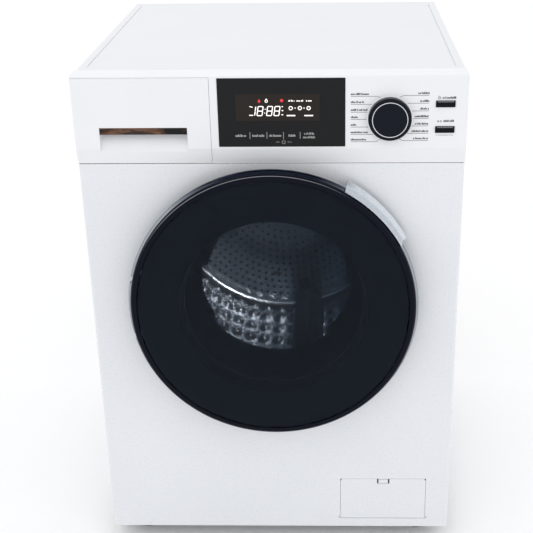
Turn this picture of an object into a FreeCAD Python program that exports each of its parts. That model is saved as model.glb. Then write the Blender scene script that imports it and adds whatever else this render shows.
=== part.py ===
"""Front-loading washing machine with a drying duct, as an assembly of separate pieces.

Millimetres, +Z up, +X to the right seen from the front, +Y to the back. The origin is on the
floor, at the middle of the whole machine's footprint. Depths are measured back from the front
panel's outer face, so what stands in front of it has a negative depth.
"""
import FreeCAD
import Part
import Sketcher
import math
import os
from types import SimpleNamespace

DRIVING = {
    # cabinet
    "body_width": 595.0,
    "body_height": 850.0,
    "body_depth": 600.0,
    "sheet_gauge": 1.0,
    "panel_base": 31.0,
    "fascia_base": 712.5,
    "fascia_proud": 6.0,
    "fascia_bend": 737.5,
    "fascia_strip": 36.0,
    "cover_rise": 25.0,
    "rear_face": 585.0,
    # controls
    "drawer_split": -90.0,
    "knob_x": 181.0,
    "knob_z": 784.0,
    "knob_radius": 32.5,
    "key_x": 264.0,
    "power_z": 805.8,
    "start_z": 766.3,
    # door
    "door_z": 481.0,
    "door_radius": 227.5,
    "door_proud": 47.0,
    "port_radius": 165.0,
    "bowl_radius": 149.9,
    "hinge_x": -209.5,
    "hinge_depth": -34.0,
    # tub and drum
    "tub_radius": 275.0,
    "tub_wall": 4.0,
    "tub_split": 290.0,
    "tub_rear": 500.0,
    "drum_radius": 245.0,
    "drum_gauge": 1.5,
    "drum_front": 100.0,
    "drum_rear": 470.0,
    "drum_mouth": 158.0,
    "shaft_radius": 15.0,
    # drive
    "pulley_radius": 140.0,
    "pulley_depth": 553.0,
    "motor_x": 70.0,
    "motor_z": 138.0,
    "motor_pulley_radius": 12.0,
    # drain
    "pump_x": 182.0,
    "pump_z": 90.0,
    # feet and suspension
    "foot_x": 245.0,
    "foot_front": 60.0,
    "foot_rear": 540.0,
    "damper_x": 170.0,
    "damper_depth": 275.0,
    "spring_x": 278.0,
}
SHEET = "Sizes"
UP = FreeCAD.Vector(0, 0, 1)
X_AXIS = FreeCAD.Vector(1, 0, 0)
Y_AXIS = FreeCAD.Vector(0, 1, 0)
ALONG = {
    "x": FreeCAD.Rotation(Y_AXIS, 90),
    "y": FreeCAD.Rotation(X_AXIS, -90),
    "z": FreeCAD.Rotation(),
}


class Size:
    """A length that carries its value and the spreadsheet expression it comes from."""

    def __init__(self, value, text):
        self.value = float(value)
        self.text = text

    @staticmethod
    def of(number):
        return number if isinstance(number, Size) else Size(number, f"({float(number):.6f})")

    def join(self, other, sign, value):
        return Size(value, f"({self.text} {sign} {other.text})")

    def __add__(self, other):
        other = Size.of(other)
        return self.join(other, "+", self.value + other.value)

    def __sub__(self, other):
        other = Size.of(other)
        return self.join(other, "-", self.value - other.value)

    def __mul__(self, other):
        other = Size.of(other)
        return self.join(other, "*", self.value * other.value)

    def __truediv__(self, other):
        other = Size.of(other)
        return self.join(other, "/", self.value / other.value)

    def __radd__(self, other):
        return Size.of(other) + self

    def __rsub__(self, other):
        return Size.of(other) - self

    def __rmul__(self, other):
        return Size.of(other) * self

    def __neg__(self):
        return Size(-self.value, f"(0 - {self.text})")


doc = FreeCAD.newDocument("WashingMachine")
sheet = doc.addObject("Spreadsheet::Sheet", SHEET)
for row, (alias, number) in enumerate(DRIVING.items(), start=1):
    sheet.set(f"A{row}", alias)
    sheet.set(f"B{row}", str(number))
    sheet.setAlias(f"B{row}", alias)
doc.recompute()
S = SimpleNamespace(**{a: Size(v, f"{SHEET}.{a}") for a, v in DRIVING.items()})
HALF = S.body_width / 2
FACE_Y = (S.door_proud - S.body_depth) / 2
NODES = {}


# ---------------------------------------------------------------- building blocks
def node(name, item):
    """Names a finished sub-part, which gives its STEP file the same name."""
    item.Label = name
    NODES[name] = item
    return item


def drive(item, prop, size):
    item.setExpression(prop, Size.of(size).text)


def put(item, x, depth, z, turn=None):
    """Places an item, its depth counted back from the front panel's face."""
    if turn is not None:
        item.Placement = FreeCAD.Placement(FreeCAD.Vector(), turn)
    drive(item, "Placement.Base.x", x)
    drive(item, "Placement.Base.y", FACE_Y + depth)
    drive(item, "Placement.Base.z", z)
    return item


def span(x, depth, z):
    """A box from one corner to the other, each given as (low, high)."""
    item = doc.addObject("Part::Box", "Block")
    for prop, (low, high) in (("Length", x), ("Width", depth), ("Height", z)):
        drive(item, prop, Size.of(high) - low)
    return put(item, x[0], depth[0], z[0])


def rod(radius, length, x, depth, z, along="y"):
    """A cylinder that starts at a point and runs along x, y or z."""
    item = doc.addObject("Part::Cylinder", "Rod")
    drive(item, "Radius", radius)
    drive(item, "Height", length)
    return put(item, x, depth, z, ALONG[along])


def taper(low_radius, high_radius, length, x, depth, z, along="z"):
    item = doc.addObject("Part::Cone", "Taper")
    drive(item, "Radius1", low_radius)
    drive(item, "Radius2", high_radius)
    drive(item, "Height", length)
    return put(item, x, depth, z, ALONG[along])


def fuse(*items):
    item = doc.addObject("Part::MultiFuse", "Union")
    item.Shapes = list(items)
    return item


def cut(base, *tools):
    item = doc.addObject("Part::Cut", "Cut")
    item.Base = base
    item.Tool = tools[0] if len(tools) == 1 else fuse(*tools)
    return item


def group(*items):
    item = doc.addObject("Part::Compound", "Group")
    item.Links = list(items)
    return item


def outline(body, plane, points):
    """A closed outline of straight edges, every corner dimensioned from the origin."""
    support = next(f for f in body.Origin.OriginFeatures if f.Role == plane)
    sketch = body.newObject("Sketcher::SketchObject", "Outline")
    sketch.AttachmentSupport = [(support, "")]
    sketch.MapMode = "FlatFace"
    corners = [(Size.of(a), Size.of(b)) for a, b in points]
    count = len(corners)
    for i, (a, b) in enumerate(corners):
        c, d = corners[(i + 1) % count]
        start = FreeCAD.Vector(a.value, b.value, 0)
        sketch.addGeometry(Part.LineSegment(start, FreeCAD.Vector(c.value, d.value, 0)), False)
    for i in range(count):
        sketch.addConstraint(Sketcher.Constraint("Coincident", i, 2, (i + 1) % count, 1))
    for i, corner in enumerate(corners):
        for kind, size in zip(("DistanceX", "DistanceY"), corner):
            index = sketch.addConstraint(Sketcher.Constraint(kind, -1, 1, i, 1, size.value))
            sketch.setExpression(f"Constraints[{index}]", size.text)
    return sketch


def revolved(points, x=0, z=None, angle=360, first=0):
    """Turns (radius, depth) corners about the front-to-back line through x and z."""
    body = doc.addObject("PartDesign::Body", "Turned")
    feature_profile = outline(body, "XY_Plane", points)
    feature = body.newObject("PartDesign::Revolution", "Revolution")
    feature.Profile = feature_profile
    feature.ReferenceAxis = (feature_profile, ["V_Axis"])
    feature.Angle = angle
    # the sketch lies at +X, and the turn about +Y runs towards -Z, so the start is turned up
    turn = FreeCAD.Rotation(Y_AXIS, -(first + angle)) if angle < 360 else None
    return put(body, x, 0, S.door_z if z is None else z, turn)


def padded(plane, points, low, high, offset=(0, 0, 0)):
    """Extrudes an outline from low to high along the axis that is normal to its plane.

    XY outlines hold (x, depth), XZ outlines (x, z) and YZ outlines (depth, z).
    """
    body = doc.addObject("PartDesign::Body", "Extruded")
    profile = outline(body, plane, points)
    pad = body.newObject("PartDesign::Pad", "Pad")
    pad.Profile = profile
    drive(pad, "Length", Size.of(high) - low)
    pad.Reversed = plane == "XZ_Plane"
    start = {"XY_Plane": (0, 0, low), "XZ_Plane": (0, low, 0), "YZ_Plane": (low, 0, 0)}[plane]
    x, depth, z = (Size.of(a) + b for a, b in zip(start, offset))
    return put(body, x, depth, z)


def fillet(body, radius, chosen):
    """Rounds the body's edges for which chosen(middle, direction) is true."""
    doc.recompute()
    tip = body.Tip
    names = []
    for i, edge in enumerate(tip.Shape.Edges, start=1):
        if isinstance(edge.Curve, Part.Line) and chosen(edge.CenterOfMass, edge.tangentAt(0)):
            names.append(f"Edge{i}")
    feature = body.newObject("PartDesign::Fillet", "Fillet")
    feature.Base = (tip, names)
    feature.Radius = radius
    doc.recompute()
    return body


def near(a, b, tolerance=0.3):
    return abs(a - b) < tolerance


def ring(inner, outer, low, high, x=0, z=None):
    """A plain ring about a front-to-back line, between two depths."""
    return revolved([(inner, low), (outer, low), (outer, high), (inner, high)], x, z)


def shaped(name, shape):
    """A sub-part whose shape is made directly, already in its place."""
    item = doc.addObject("Part::Feature", name)
    item.Shape = shape
    return item


def hose(points, bend, outer, inner):
    """A tube along straight runs joined by arcs of one bend radius."""
    corners = [FreeCAD.Vector(x, FACE_Y.value + d, z) for x, d, z in points]
    edges, start = [], corners[0]
    for before, here, after in zip(corners, corners[1:], corners[2:]):
        back, ahead = (before - here).normalize(), (after - here).normalize()
        reach = bend / math.tan(back.getAngle(ahead) / 2)
        enter, leave = here + back * reach, here + ahead * reach
        inward = (back + ahead).normalize()
        centre = here + inward * math.hypot(reach, bend)
        edges.append(Part.LineSegment(start, enter).toShape())
        edges.append(Part.Arc(enter, centre - inward * bend, leave).toShape())
        start = leave
    edges.append(Part.LineSegment(start, corners[-1]).toShape())
    path = Part.Wire(edges)
    heading = corners[1] - corners[0]

    def swept(radius):
        circle = Part.Wire([Part.Circle(corners[0], heading, radius).toShape()])
        return path.makePipeShell([circle], True, False)

    return swept(outer).cut(swept(inner))


# ---------------------------------------------------------------- cabinet
FASCIA_BACK = 16.0
REAR_SCREWS = [(x, z) for x in (-256.0, 0.0, 256.0) for z in (76.0, 806.0)]
REAR_SCREWS += [(x, z) for x in (-256.0, 256.0) for z in (320.0, 560.0)]
TRANSIT_HOLES = [(x, z) for x in (-170.0, 170.0) for z in (400.0, 590.0)]
VALVE_X = (205.0, 245.0)
VALVE_Z = 752.0
DRAIN_X, DRAIN_Z = 245.0, 100.0
SUMP_DEPTH = 122.0
GLAND_X, GLAND_Z = -225.0, 740.0
FLAP_X, FLAP_Z = (107.5, 257.5), (48.0, 132.0)
LOCK_Z = (-40.0, 40.0)
HOOK_X = (178.0, 203.0)
RAIL_DEPTHS = (185.0, 400.0)
SPRING_Z = (614.2, 812.8)


def cabinet_shell():
    """Steel wrap-around side panels, with the back's frame and the rails that hold the springs."""
    edge, gauge, rear = HALF, S.sheet_gauge, S.rear_face
    wrap = padded(
        "XY_Plane",
        [
            (-edge, 12.5),
            (-edge, rear),
            (edge, rear),
            (edge, 12.5),
            (edge - gauge, 12.5),
            (edge - gauge, rear - gauge),
            (gauge - edge, rear - gauge),
            (gauge - edge, 12.5),
        ],
        S.panel_base,
        S.body_height - S.cover_rise - 0.3,
    )
    edge_x = HALF.value
    fillet(wrap, 4, lambda p, t: abs(t.z) > 0.9 and near(abs(p.x), edge_x) and p.y > 500)
    inner_x, inner_y = edge_x - S.sheet_gauge.value, S.rear_face.value - S.sheet_gauge.value
    fillet(wrap, 3, lambda p, t: abs(t.z) > 0.9 and near(abs(p.x), inner_x) and near(p.y, inner_y))
    service = span((-262, 262), (rear - 10, rear + 10), (82, 800))
    behind_fascia = span((-300, 300), (0, FASCIA_BACK + 0.5), (S.fascia_base - 0.5, 900))
    holes = [rod(2.4, 12, x, rear - 8, z) for x, z in REAR_SCREWS]
    rails = []
    for depth in RAIL_DEPTHS:
        top = S.body_height - S.cover_rise - 0.3
        rails.append(span((gauge - edge, edge - gauge), (depth - 15, depth + 15), (top - 2, top)))
        for side in (-1, 1):
            x = S.spring_x * side
            rails.append(span((x - 13, x + 13), (depth - 3, depth + 3), (SPRING_Z[1] + 2.2, top - 1)))
    return node("cabinet_shell", fuse(cut(wrap, service, behind_fascia, *holes), *rails))


def front_panel():
    """The steel front with its rolled edges, the door port with its lip and the filter opening."""
    edge, gauge = HALF, S.sheet_gauge
    sheet_top = S.fascia_base - 1
    skin = padded(
        "XY_Plane",
        [
            (-edge, 12),
            (-edge, 0),
            (edge, 0),
            (edge, 12),
            (edge - gauge, 12),
            (edge - gauge, gauge),
            (gauge - edge, gauge),
            (gauge - edge, 12),
        ],
        S.panel_base,
        sheet_top,
    )
    edge_x = HALF.value
    fillet(skin, 4, lambda p, t: abs(t.z) > 0.9 and near(abs(p.x), edge_x) and near(p.y, 0))
    fillet(skin, 3, lambda p, t: abs(t.z) > 0.9 and near(abs(p.x), edge_x - 1) and near(p.y, 1))
    returns = [
        span((-292, 292), (0.5, 12), (sheet_top - gauge, sheet_top)),
        span((-292, 292), (0.5, 12), (S.panel_base, S.panel_base + gauge)),
    ]
    collar = ring(S.port_radius, S.port_radius + 1.2, 0, 6)
    port = rod(S.port_radius, 20, 0, -5, S.door_z)
    flap = span(FLAP_X, (-5, 15), FLAP_Z)
    pin_notches = span((FLAP_X[0] - 3, FLAP_X[1] + 3), (-0.1, 5), (49.6, 52.4))
    hook_slot = span(HOOK_X, (-5, 10), (S.door_z - 12, S.door_z + 12))
    plate = cut(fuse(skin, *returns), port, flap, pin_notches, hook_slot)
    return node("front_panel", fuse(plate, collar))


def rear_panel():
    """The removable back plate, with louvres and the openings for hoses, cord and transit bolts."""
    low = S.rear_face + 0.1
    plate = span((-268, 268), (low, low + 1.2), (64, 818))
    holes = [rod(2.4, 6, x, low - 2, z) for x, z in REAR_SCREWS]
    holes += [rod(16, 6, x, low - 2, z) for x, z in TRANSIT_HOLES]
    holes += [rod(14.2, 6, x, low - 2, VALVE_Z) for x in VALVE_X]
    holes.append(rod(11.4, 6, DRAIN_X, low - 2, DRAIN_Z))
    holes.append(rod(9.2, 6, GLAND_X, low - 2, GLAND_Z))
    holes += [span((-60, 60), (low - 2, low + 4), (z, z + 5)) for z in (700, 714, 728, 742, 756)]
    bead = cut(
        span((-225, 225), (low - 3, low + 0.4), (150, 660)),
        span((-223, 223), (low - 4, low - 1.2), (152, 658)),
    )
    sunk = span((-223, 223), (low - 0.8, low + 4), (152, 658))
    tray = cut(span((-224, 224), (low - 2.2, low + 0.2), (151, 659)), sunk)
    pressed = fuse(plate, cut(bead, sunk), tray)
    transit = [rod(16, 12, x, low - 6, z) for x, z in TRANSIT_HOLES]
    return node("rear_panel", cut(pressed, *holes, *transit))


def base_pan():
    """The moulded floor pan, with a boss round each foot's stud."""
    tray = cut(
        span((-294, 294), (14, 582), (22, 58)),
        span((-291, 291), (17, 579), (25, 60)),
    )
    feet = [(x, d) for x in (-S.foot_x, S.foot_x) for d in (S.foot_front, S.foot_rear)]
    bosses = [rod(13, 32, x, d, 23, "z") for x, d in feet]
    bores = [rod(5.08, 60, x, d, 10, "z") for x, d in feet]
    ribs = [span((-292, 292), (d, d + 3), (24, 44)) for d in (190.0, 390.0)]
    pads = []
    for side in (-1, 1):
        x = S.damper_x * side
        pads.append(span((x - 20, x + 20), (S.damper_depth - 16, S.damper_depth + 16), (24, 50)))
    pads.append(span((S.pump_x - 34, S.pump_x + 34), (60, 158), (24, 56)))
    return node("base_pan", cut(fuse(tray, *bosses, *ribs, *pads), *bores))


def top_cover():
    """The white worktop: a hollow moulding with a long groove just inside each side edge."""
    top, under = S.body_height, S.body_height - S.cover_rise
    front = S.fascia_strip + 0.5
    lid = padded(
        "XZ_Plane",
        [(-HALF, under), (HALF, under), (HALF, top), (-HALF, top)],
        front,
        S.body_depth,
    )
    high = S.body_height.value
    fillet(lid, 4, lambda p, t: near(p.z, high) and abs(t.y) > 0.9)
    fillet(lid, 2.5, lambda p, t: near(p.z, high) and abs(t.x) > 0.9 and p.y > 300)
    hollow = span((-HALF + 3, HALF - 3), (front + 3, S.body_depth - 3), (under - 1, top - 4))
    grooves = []
    for side in (-1, 1):
        x = (HALF - 15) * side
        grooves.append(span((x - 1, x + 1), (50, 566), (top - 1.2, top + 5)))
    return node("top_cover", cut(lid, hollow, *grooves))


# ---------------------------------------------------------------- controls
LENS_X, LENS_Z = (-77.5, 114.0), (740.5, 846.0)
KEY_HALF = (14.3, 4.8)
FASCIA_TOP_STRIP = 2.6


def fascia_profile(back, wall):
    """The fascia's side view: upright face, bent in below, with a strip along the worktop."""
    top, proud, bend, base = S.body_height, -S.fascia_proud, S.fascia_bend, S.fascia_base
    return [
        (back, top),
        (proud, top),
        (proud, bend),
        (0, base + 1.5),
        (0, base),
        (FASCIA_BACK, base),
        (FASCIA_BACK, base + wall),
        (wall, base + wall),
        (wall, base + 3.4),
        (proud + wall, bend + 0.6),
        (proud + wall, top - wall),
        (back, top - wall),
    ]


def control_fascia():
    """The moulded control panel: the face right of the drawer, and the strip over the whole width."""
    left, wall = S.drawer_split + 0.5, 3
    back = S.fascia_strip
    face = padded("YZ_Plane", fascia_profile(back, wall), left, HALF)
    top = S.body_height.value
    fillet(face, 2.5, lambda p, t: abs(t.x) > 0.9 and near(p.z, top) and p.y < 0)
    step = S.body_height - S.cover_rise + 0.2
    side = [
        (back, top - 1),
        (1 - S.fascia_proud, top - 1),
        (1 - S.fascia_proud, S.fascia_bend),
        (1, S.fascia_base + 2),
        (FASCIA_BACK, S.fascia_base + 1),
        (FASCIA_BACK, step),
        (back, step),
    ]
    ends = [padded("YZ_Plane", side, low, low + wall) for low in (left, HALF - wall)]
    ends.append(span((-HALF, wall - HALF), (FASCIA_BACK + 0.5, back), (step, top - 1)))
    strip = padded(
        "YZ_Plane",
        [
            (back, top),
            (-S.fascia_proud, top),
            (-S.fascia_proud, top - FASCIA_TOP_STRIP),
            (back, top - FASCIA_TOP_STRIP),
        ],
        -HALF,
        left + 1,
    )
    fillet(strip, 2.5, lambda p, t: abs(t.x) > 0.9 and near(p.z, top) and p.y < 0)
    lens = span((LENS_X[0] - 0.3, LENS_X[1] + 0.3), (-9, 2), (LENS_Z[0] - 0.3, LENS_Z[1] + 0.3))
    stem = rod(3.08, 12, S.knob_x, -9, S.knob_z)
    keys = []
    for z in (S.power_z, S.start_z):
        x_span = (S.key_x - KEY_HALF[0] - 0.4, S.key_x + KEY_HALF[0] + 0.4)
        keys.append(span(x_span, (-9, 2), (z - KEY_HALF[1] - 0.4, z + KEY_HALF[1] + 0.4)))
    return node("control_fascia", cut(fuse(face, strip, *ends), lens, stem, *keys))


def display_lens():
    """The dark glossy window over the display and its touch keys."""
    lens = padded(
        "XZ_Plane",
        [
            (LENS_X[0], LENS_Z[0]),
            (LENS_X[1], LENS_Z[0]),
            (LENS_X[1], LENS_Z[1]),
            (LENS_X[0], LENS_Z[1]),
        ],
        -S.fascia_proud - 0.6,
        -S.fascia_proud + 2.2,
    )
    fillet(lens, 1.2, lambda p, t: abs(t.y) > 0.9)
    return node("display_lens", lens)


def control_board():
    """Circuit board with the display module, the knob's encoder and the key switches."""
    board = span((-80, 286), (17, 18.8), (726, 836))
    display = span((-54, 80), (-2.6, 17.5), (776, 826))
    touch = span((-62, 84), (-2.6, -1.2), (748, 764))
    posts = [span((x, x + 5), (-2, 17.5), (752, 760)) for x in (-60, 77)]
    encoder = cut(rod(9, 14.5, S.knob_x, 3, S.knob_z), rod(3.08, 6.5, S.knob_x, 2, S.knob_z))
    switches = []
    for z in (S.power_z, S.start_z):
        switches.append(rod(4, 12, S.key_x, 5.5, z))
    relays = [span((x, x + 18), (18.5, 32), (740, 768)) for x in (-40, -10, 20)]
    return node("control_board", fuse(board, display, touch, *posts, encoder, *switches, *relays))


def programme_knob():
    """The round selector: a skirt, a groove for the bright ring, and a slightly raised cap."""
    front = -S.fascia_proud - 11
    edge = S.knob_radius
    knob = revolved(
        [
            (0, 8),
            (3, 8),
            (3, -S.fascia_proud - 0.5),
            (edge - 0.6, -S.fascia_proud - 0.5),
            (edge, -S.fascia_proud - 1.1),
            (edge, front + 2),
            (edge - 1.2, front + 0.5),
            (edge - 3, front),
            (27.1, front),
            (27.1, front + 1.4),
            (25.8, front + 1.4),
            (25.8, front),
            (25.2, front),
            (24.2, front - 1.3),
            (22, front - 1.9),
            (0, front - 1.9),
        ],
        S.knob_x,
        S.knob_z,
    )
    return node("programme_knob", knob)


def knob_ring():
    front = -S.fascia_proud - 11
    return node("knob_ring", ring(25.9, 27.0, front - 0.25, front + 1.3, S.knob_x, S.knob_z))


def press_key(name, z):
    """A push key with a retaining flange behind the fascia."""
    x, (half_x, half_z) = S.key_x, KEY_HALF
    cap = padded(
        "XZ_Plane",
        [(x - half_x, z - half_z), (x + half_x, z - half_z), (x + half_x, z + half_z), (x - half_x, z + half_z)],
        -S.fascia_proud - 1.8,
        -1,
    )
    fillet(cap, 1.2, lambda p, t: abs(t.y) > 0.9)
    flange = span((x - half_x - 2, x + half_x + 2), (-2.6, -1), (z - half_z - 2, z + half_z + 2))
    plunger = rod(2, 4.4, x, -1.2, z)
    return node(name, fuse(cap, flange, plunger))


# ---------------------------------------------------------------- detergent drawer
HOUSING_X, HOUSING_Z = (-262.0, -108.0), (748.0, 820.0)
DRAWER_WALLS = (-196.0, -156.0)
RECESS_X, RECESS_Z = (-259.5, -125.5), (730.5, 770.5)


def dispenser_housing():
    """The box that the drawer runs in, with its water inlet and the outlet to the tub."""
    (left, right), (low, high) = HOUSING_X, HOUSING_Z
    box = span((left, right), (18, 272), (low, high))
    hollow = span((left + 2, right - 2), (10, 270), (low + 2, high - 2))
    inlet = rod(8, 26, -150, 270, 800)
    outlet = rod(16, 24, -225, 150, low - 22, "z")
    bores = [rod(6, 40, -150, 262, 800), rod(13, 40, -225, 150, low - 30, "z")]
    return node("dispenser_housing", cut(fuse(box, inlet, outlet), hollow, *bores))


def drawer_front():
    """The drawer's handle panel, flush with the fascia, with a scooped finger recess."""
    top = S.body_height - FASCIA_TOP_STRIP - 0.4
    panel = padded(
        "YZ_Plane",
        [
            (-S.fascia_proud, top),
            (-S.fascia_proud, S.fascia_bend),
            (0, S.fascia_base + 1.5),
            (0, S.fascia_base + 0.3),
            (FASCIA_BACK, S.fascia_base + 0.3),
            (FASCIA_BACK, top),
        ],
        -HALF,
        S.drawer_split,
    )
    scoop = padded(
        "YZ_Plane",
        [(-8, RECESS_Z[1]), (-8, RECESS_Z[0] - 2.4), (10.5, 757), (10.5, 779), (-2, 779), (-2, RECESS_Z[1])],
        RECESS_X[0],
        RECESS_X[1],
    )
    return node("drawer_front", cut(panel, scoop))


def drawer_handle_trim():
    """The dark mirror strip set into the top of the finger recess."""
    strip = padded(
        "YZ_Plane",
        [(-3.6, 759.4), (-3.6, RECESS_Z[1]), (-2.4, RECESS_Z[1]), (-2.4, 759.4)],
        RECESS_X[0],
        RECESS_X[1],
    )
    return node("drawer_handle_trim", strip)


def drawer_tray():
    """Three open compartments: main wash, softener and prewash."""
    low, high = HOUSING_X[0] + 4, HOUSING_X[1] - 4
    base, rim = HOUSING_Z[0] + 4, HOUSING_Z[1] - 8
    shell = span((low, high), (FASCIA_BACK, 264), (base, rim))
    first, second = DRAWER_WALLS
    wells = [
        span((low + 2.5, first - 1.2), (20, 260), (base + 3, 830)),
        span((first + 1.2, second - 1.2), (20, 260), (base + 14, 830)),
        span((second + 1.2, high - 2.5), (20, 260), (base + 3, 830)),
    ]
    rear_notch = span((low + 2.5, first - 1.2), (255, 270), (base + 12, 830))
    return node("drawer_tray", cut(shell, *wells, rear_notch))


# ---------------------------------------------------------------- door
HANDLE_FROM, HANDLE_TO = 28.6, 60.2
ARM_OFFSETS = (-50.0, 50.0)
ARM_HALF = 4.0


def hinge_slots():
    """Room in the door's rim for the two fixed hinge arms, through the whole swing."""
    slots = []
    for offset in ARM_OFFSETS:
        z = S.door_z + offset
        slots.append(span((-238, -178), (-40, 2), (z - ARM_HALF - 1.5, z + ARM_HALF + 1.5)))
    return slots


def door_outer_ring():
    """The dark rim: a flared side wall and a rounded front lip, open where the grip is fixed."""
    edge = S.door_radius
    rim = revolved(
        [
            (edge - 3, -12.6),
            (edge, -38),
            (edge - 0.3, -40.8),
            (edge - 1.5, -43.2),
            (edge - 3.8, -45),
            (edge - 6.4, -45.7),
            (edge - 10.4, -45.5),
            (edge - 10.4, -41.6),
            (edge - 4.6, -40),
            (edge - 7.4, -12.6),
        ]
    )
    gap = revolved(
        [(edge - 9, -32), (edge + 6, -32), (edge + 6, -8), (edge - 9, -8)],
        angle=HANDLE_TO - HANDLE_FROM + 0.5,
        first=HANDLE_FROM - 0.25,
    )
    return node("door_outer_ring", cut(rim, gap, *hinge_slots()))


def door_trim_ring():
    """The bright bulging band round the middle of the rim, left out behind the grip."""
    edge = S.door_radius
    trim = revolved(
        [
            (edge - 1.79, -22),
            (edge + 2.4, -25),
            (edge + 3.8, -28.6),
            (edge + 3.9, -32),
            (edge + 2.4, -35),
            (edge - 0.13, -36),
        ]
    )
    gap = revolved(
        [(edge - 5, -40), (edge + 6, -40), (edge + 6, -18), (edge - 5, -18)],
        angle=HANDLE_TO - HANDLE_FROM + 0.5,
        first=HANDLE_FROM - 0.25,
    )
    return node("door_trim_ring", cut(trim, gap, *hinge_slots()))


def door_handle():
    """The bright grip at the upper right: a flared skirt, hollow behind for the fingers."""
    edge = S.door_radius
    grip = revolved(
        [
            (edge - 3.6, -31.8),
            (edge + 0.2, -31.8),
            (edge + 0.3, -42.6),
            (edge + 1.3, -43.4),
            (edge + 2.2, -41.6),
            (edge + 5.1, -26.4),
            (edge + 6.6, -23.2),
            (edge + 11.6, -16),
            (edge + 12, -14),
            (edge + 10.6, -12.6),
            (edge + 9.4, -13.4),
            (edge + 2.9, -23),
            (edge + 0.6, -23.4),
            (edge + 0.6, -12.8),
            (edge - 3.6, -12.8),
        ],
        angle=HANDLE_TO - HANDLE_FROM,
        first=HANDLE_FROM,
    )
    return node("door_handle", grip)


def door_cover_glass():
    """The tinted outer disc over the whole door."""
    edge = S.door_radius - 10.8
    front = -S.door_proud
    glass = revolved([(0, front), (edge - 5, front), (edge - 1.4, front + 0.7), (edge, front + 2), (edge, front + 4), (0, front + 4)])
    return node("door_cover_glass", glass)


def door_inner_frame():
    """The pale moulding that closes the door's back and holds the glass bowl's flange."""
    edge = S.door_radius - 5.6
    frame = revolved(
        [
            (152.4, -5.4),
            (edge, -5.4),
            (edge, -9.2),
            (160, -9.2),
            (158, -13.4),
            (145, -13.4),
            (145, -9.6),
            (152.4, -9.6),
        ]
    )
    hook = span((179, 198), (-20, 0), (S.door_z - 10, S.door_z + 10))
    lugs = [span((182, 194), (-21.5, -9), (S.door_z + z, S.door_z + z + 3)) for z in (-13.5, 10.5)]
    pivot = rod(3.08, 30, 188, -17, S.door_z - 15, "z")
    return node("door_inner_frame", cut(fuse(cut(frame, hook, *hinge_slots()), *lugs), pivot))


def door_bowl():
    """The pressed glass bowl that fills the porthole."""
    edge = S.bowl_radius
    bowl = revolved(
        [
            (edge + 2, -9.4),
            (edge + 2, -5.4),
            (edge + 0.2, -4.6),
            (edge, 13),
            (edge - 3.9, 25),
            (edge - 9, 45),
            (edge - 13, 60),
            (edge - 17.5, 75),
            (edge - 23, 84),
            (edge - 32, 91),
            (edge - 44, 95),
            (0, 97),
            (0, 92),
            (edge - 46, 90),
            (edge - 36, 86.5),
            (edge - 28, 80.5),
            (edge - 22.5, 72),
            (edge - 18.5, 59),
            (edge - 14.5, 44),
            (edge - 9.5, 24),
            (edge - 5.4, 10),
            (edge - 5.4, -5),
            (edge - 8, -9.4),
        ]
    )
    return node("door_bowl", bowl)


def door_hinge_arm():
    """The door's half of the hinge: knuckle, pin, and the cranked plate on the inner frame."""
    x, depth, z = S.hinge_x, S.hinge_depth, S.door_z
    knuckle = rod(6, 90, x, depth, z - 45, "z")
    pin = rod(3, 116, x, depth, z - 58, "z")
    plate = span((x, x + 40), (depth - 5, depth - 1), (z - 38, z + 38))
    web = span((x + 36, x + 40), (depth - 5, -9.5), (z - 38, z + 38))
    foot = span((x + 36, x + 43), (-13.2, -9.5), (z - 38, z + 38))
    return node("door_hinge_arm", fuse(knuckle, pin, plate, web, foot))


def door_hinge_bracket():
    """The cabinet's half of the hinge: a plate on the front, with two swan-neck arms."""
    x, depth = S.hinge_x, S.hinge_depth
    plate = span((x + 12, x + 30), (-2.6, -0.1), (S.door_z - 66, S.door_z + 66))
    arms, bores = [], []
    for offset in ARM_OFFSETS:
        z_span = (S.door_z + offset - ARM_HALF, S.door_z + offset + ARM_HALF)
        arms.append(rod(6, 2 * ARM_HALF, x, depth, z_span[0], "z"))
        arms.append(span((x, x + 26), (depth - 4, depth + 4), z_span))
        arms.append(span((x + 18, x + 26), (depth, -0.1), z_span))
        bores.append(rod(3.08, 2 * ARM_HALF + 4, x, depth, z_span[0] - 2, "z"))
    return node("door_hinge_bracket", cut(fuse(plate, *arms), *bores))


def latch_hook():
    """The sprung hook on the door that catches in the lock."""
    z_span = (S.door_z - 7, S.door_z + 7)
    hook = padded(
        "XY_Plane",
        [(184, -19), (192, -19), (192, 8), (197, 11), (197, 14), (190, 18), (186, 18), (184, 14)],
        z_span[0],
        z_span[1],
    )
    return node("latch_hook", fuse(hook, rod(3, 26, 188, -17, S.door_z - 13, "z")))


def door_lock():
    """The electric door lock behind the front panel."""
    case = span((172, 216), (1.3, 30), (S.door_z + LOCK_Z[0], S.door_z + LOCK_Z[1]))
    mouth = span((HOOK_X[0] + 0.5, HOOK_X[1] - 0.5), (0, 25), (S.door_z - 11, S.door_z + 11))
    return node("door_lock", cut(case, mouth))


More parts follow.
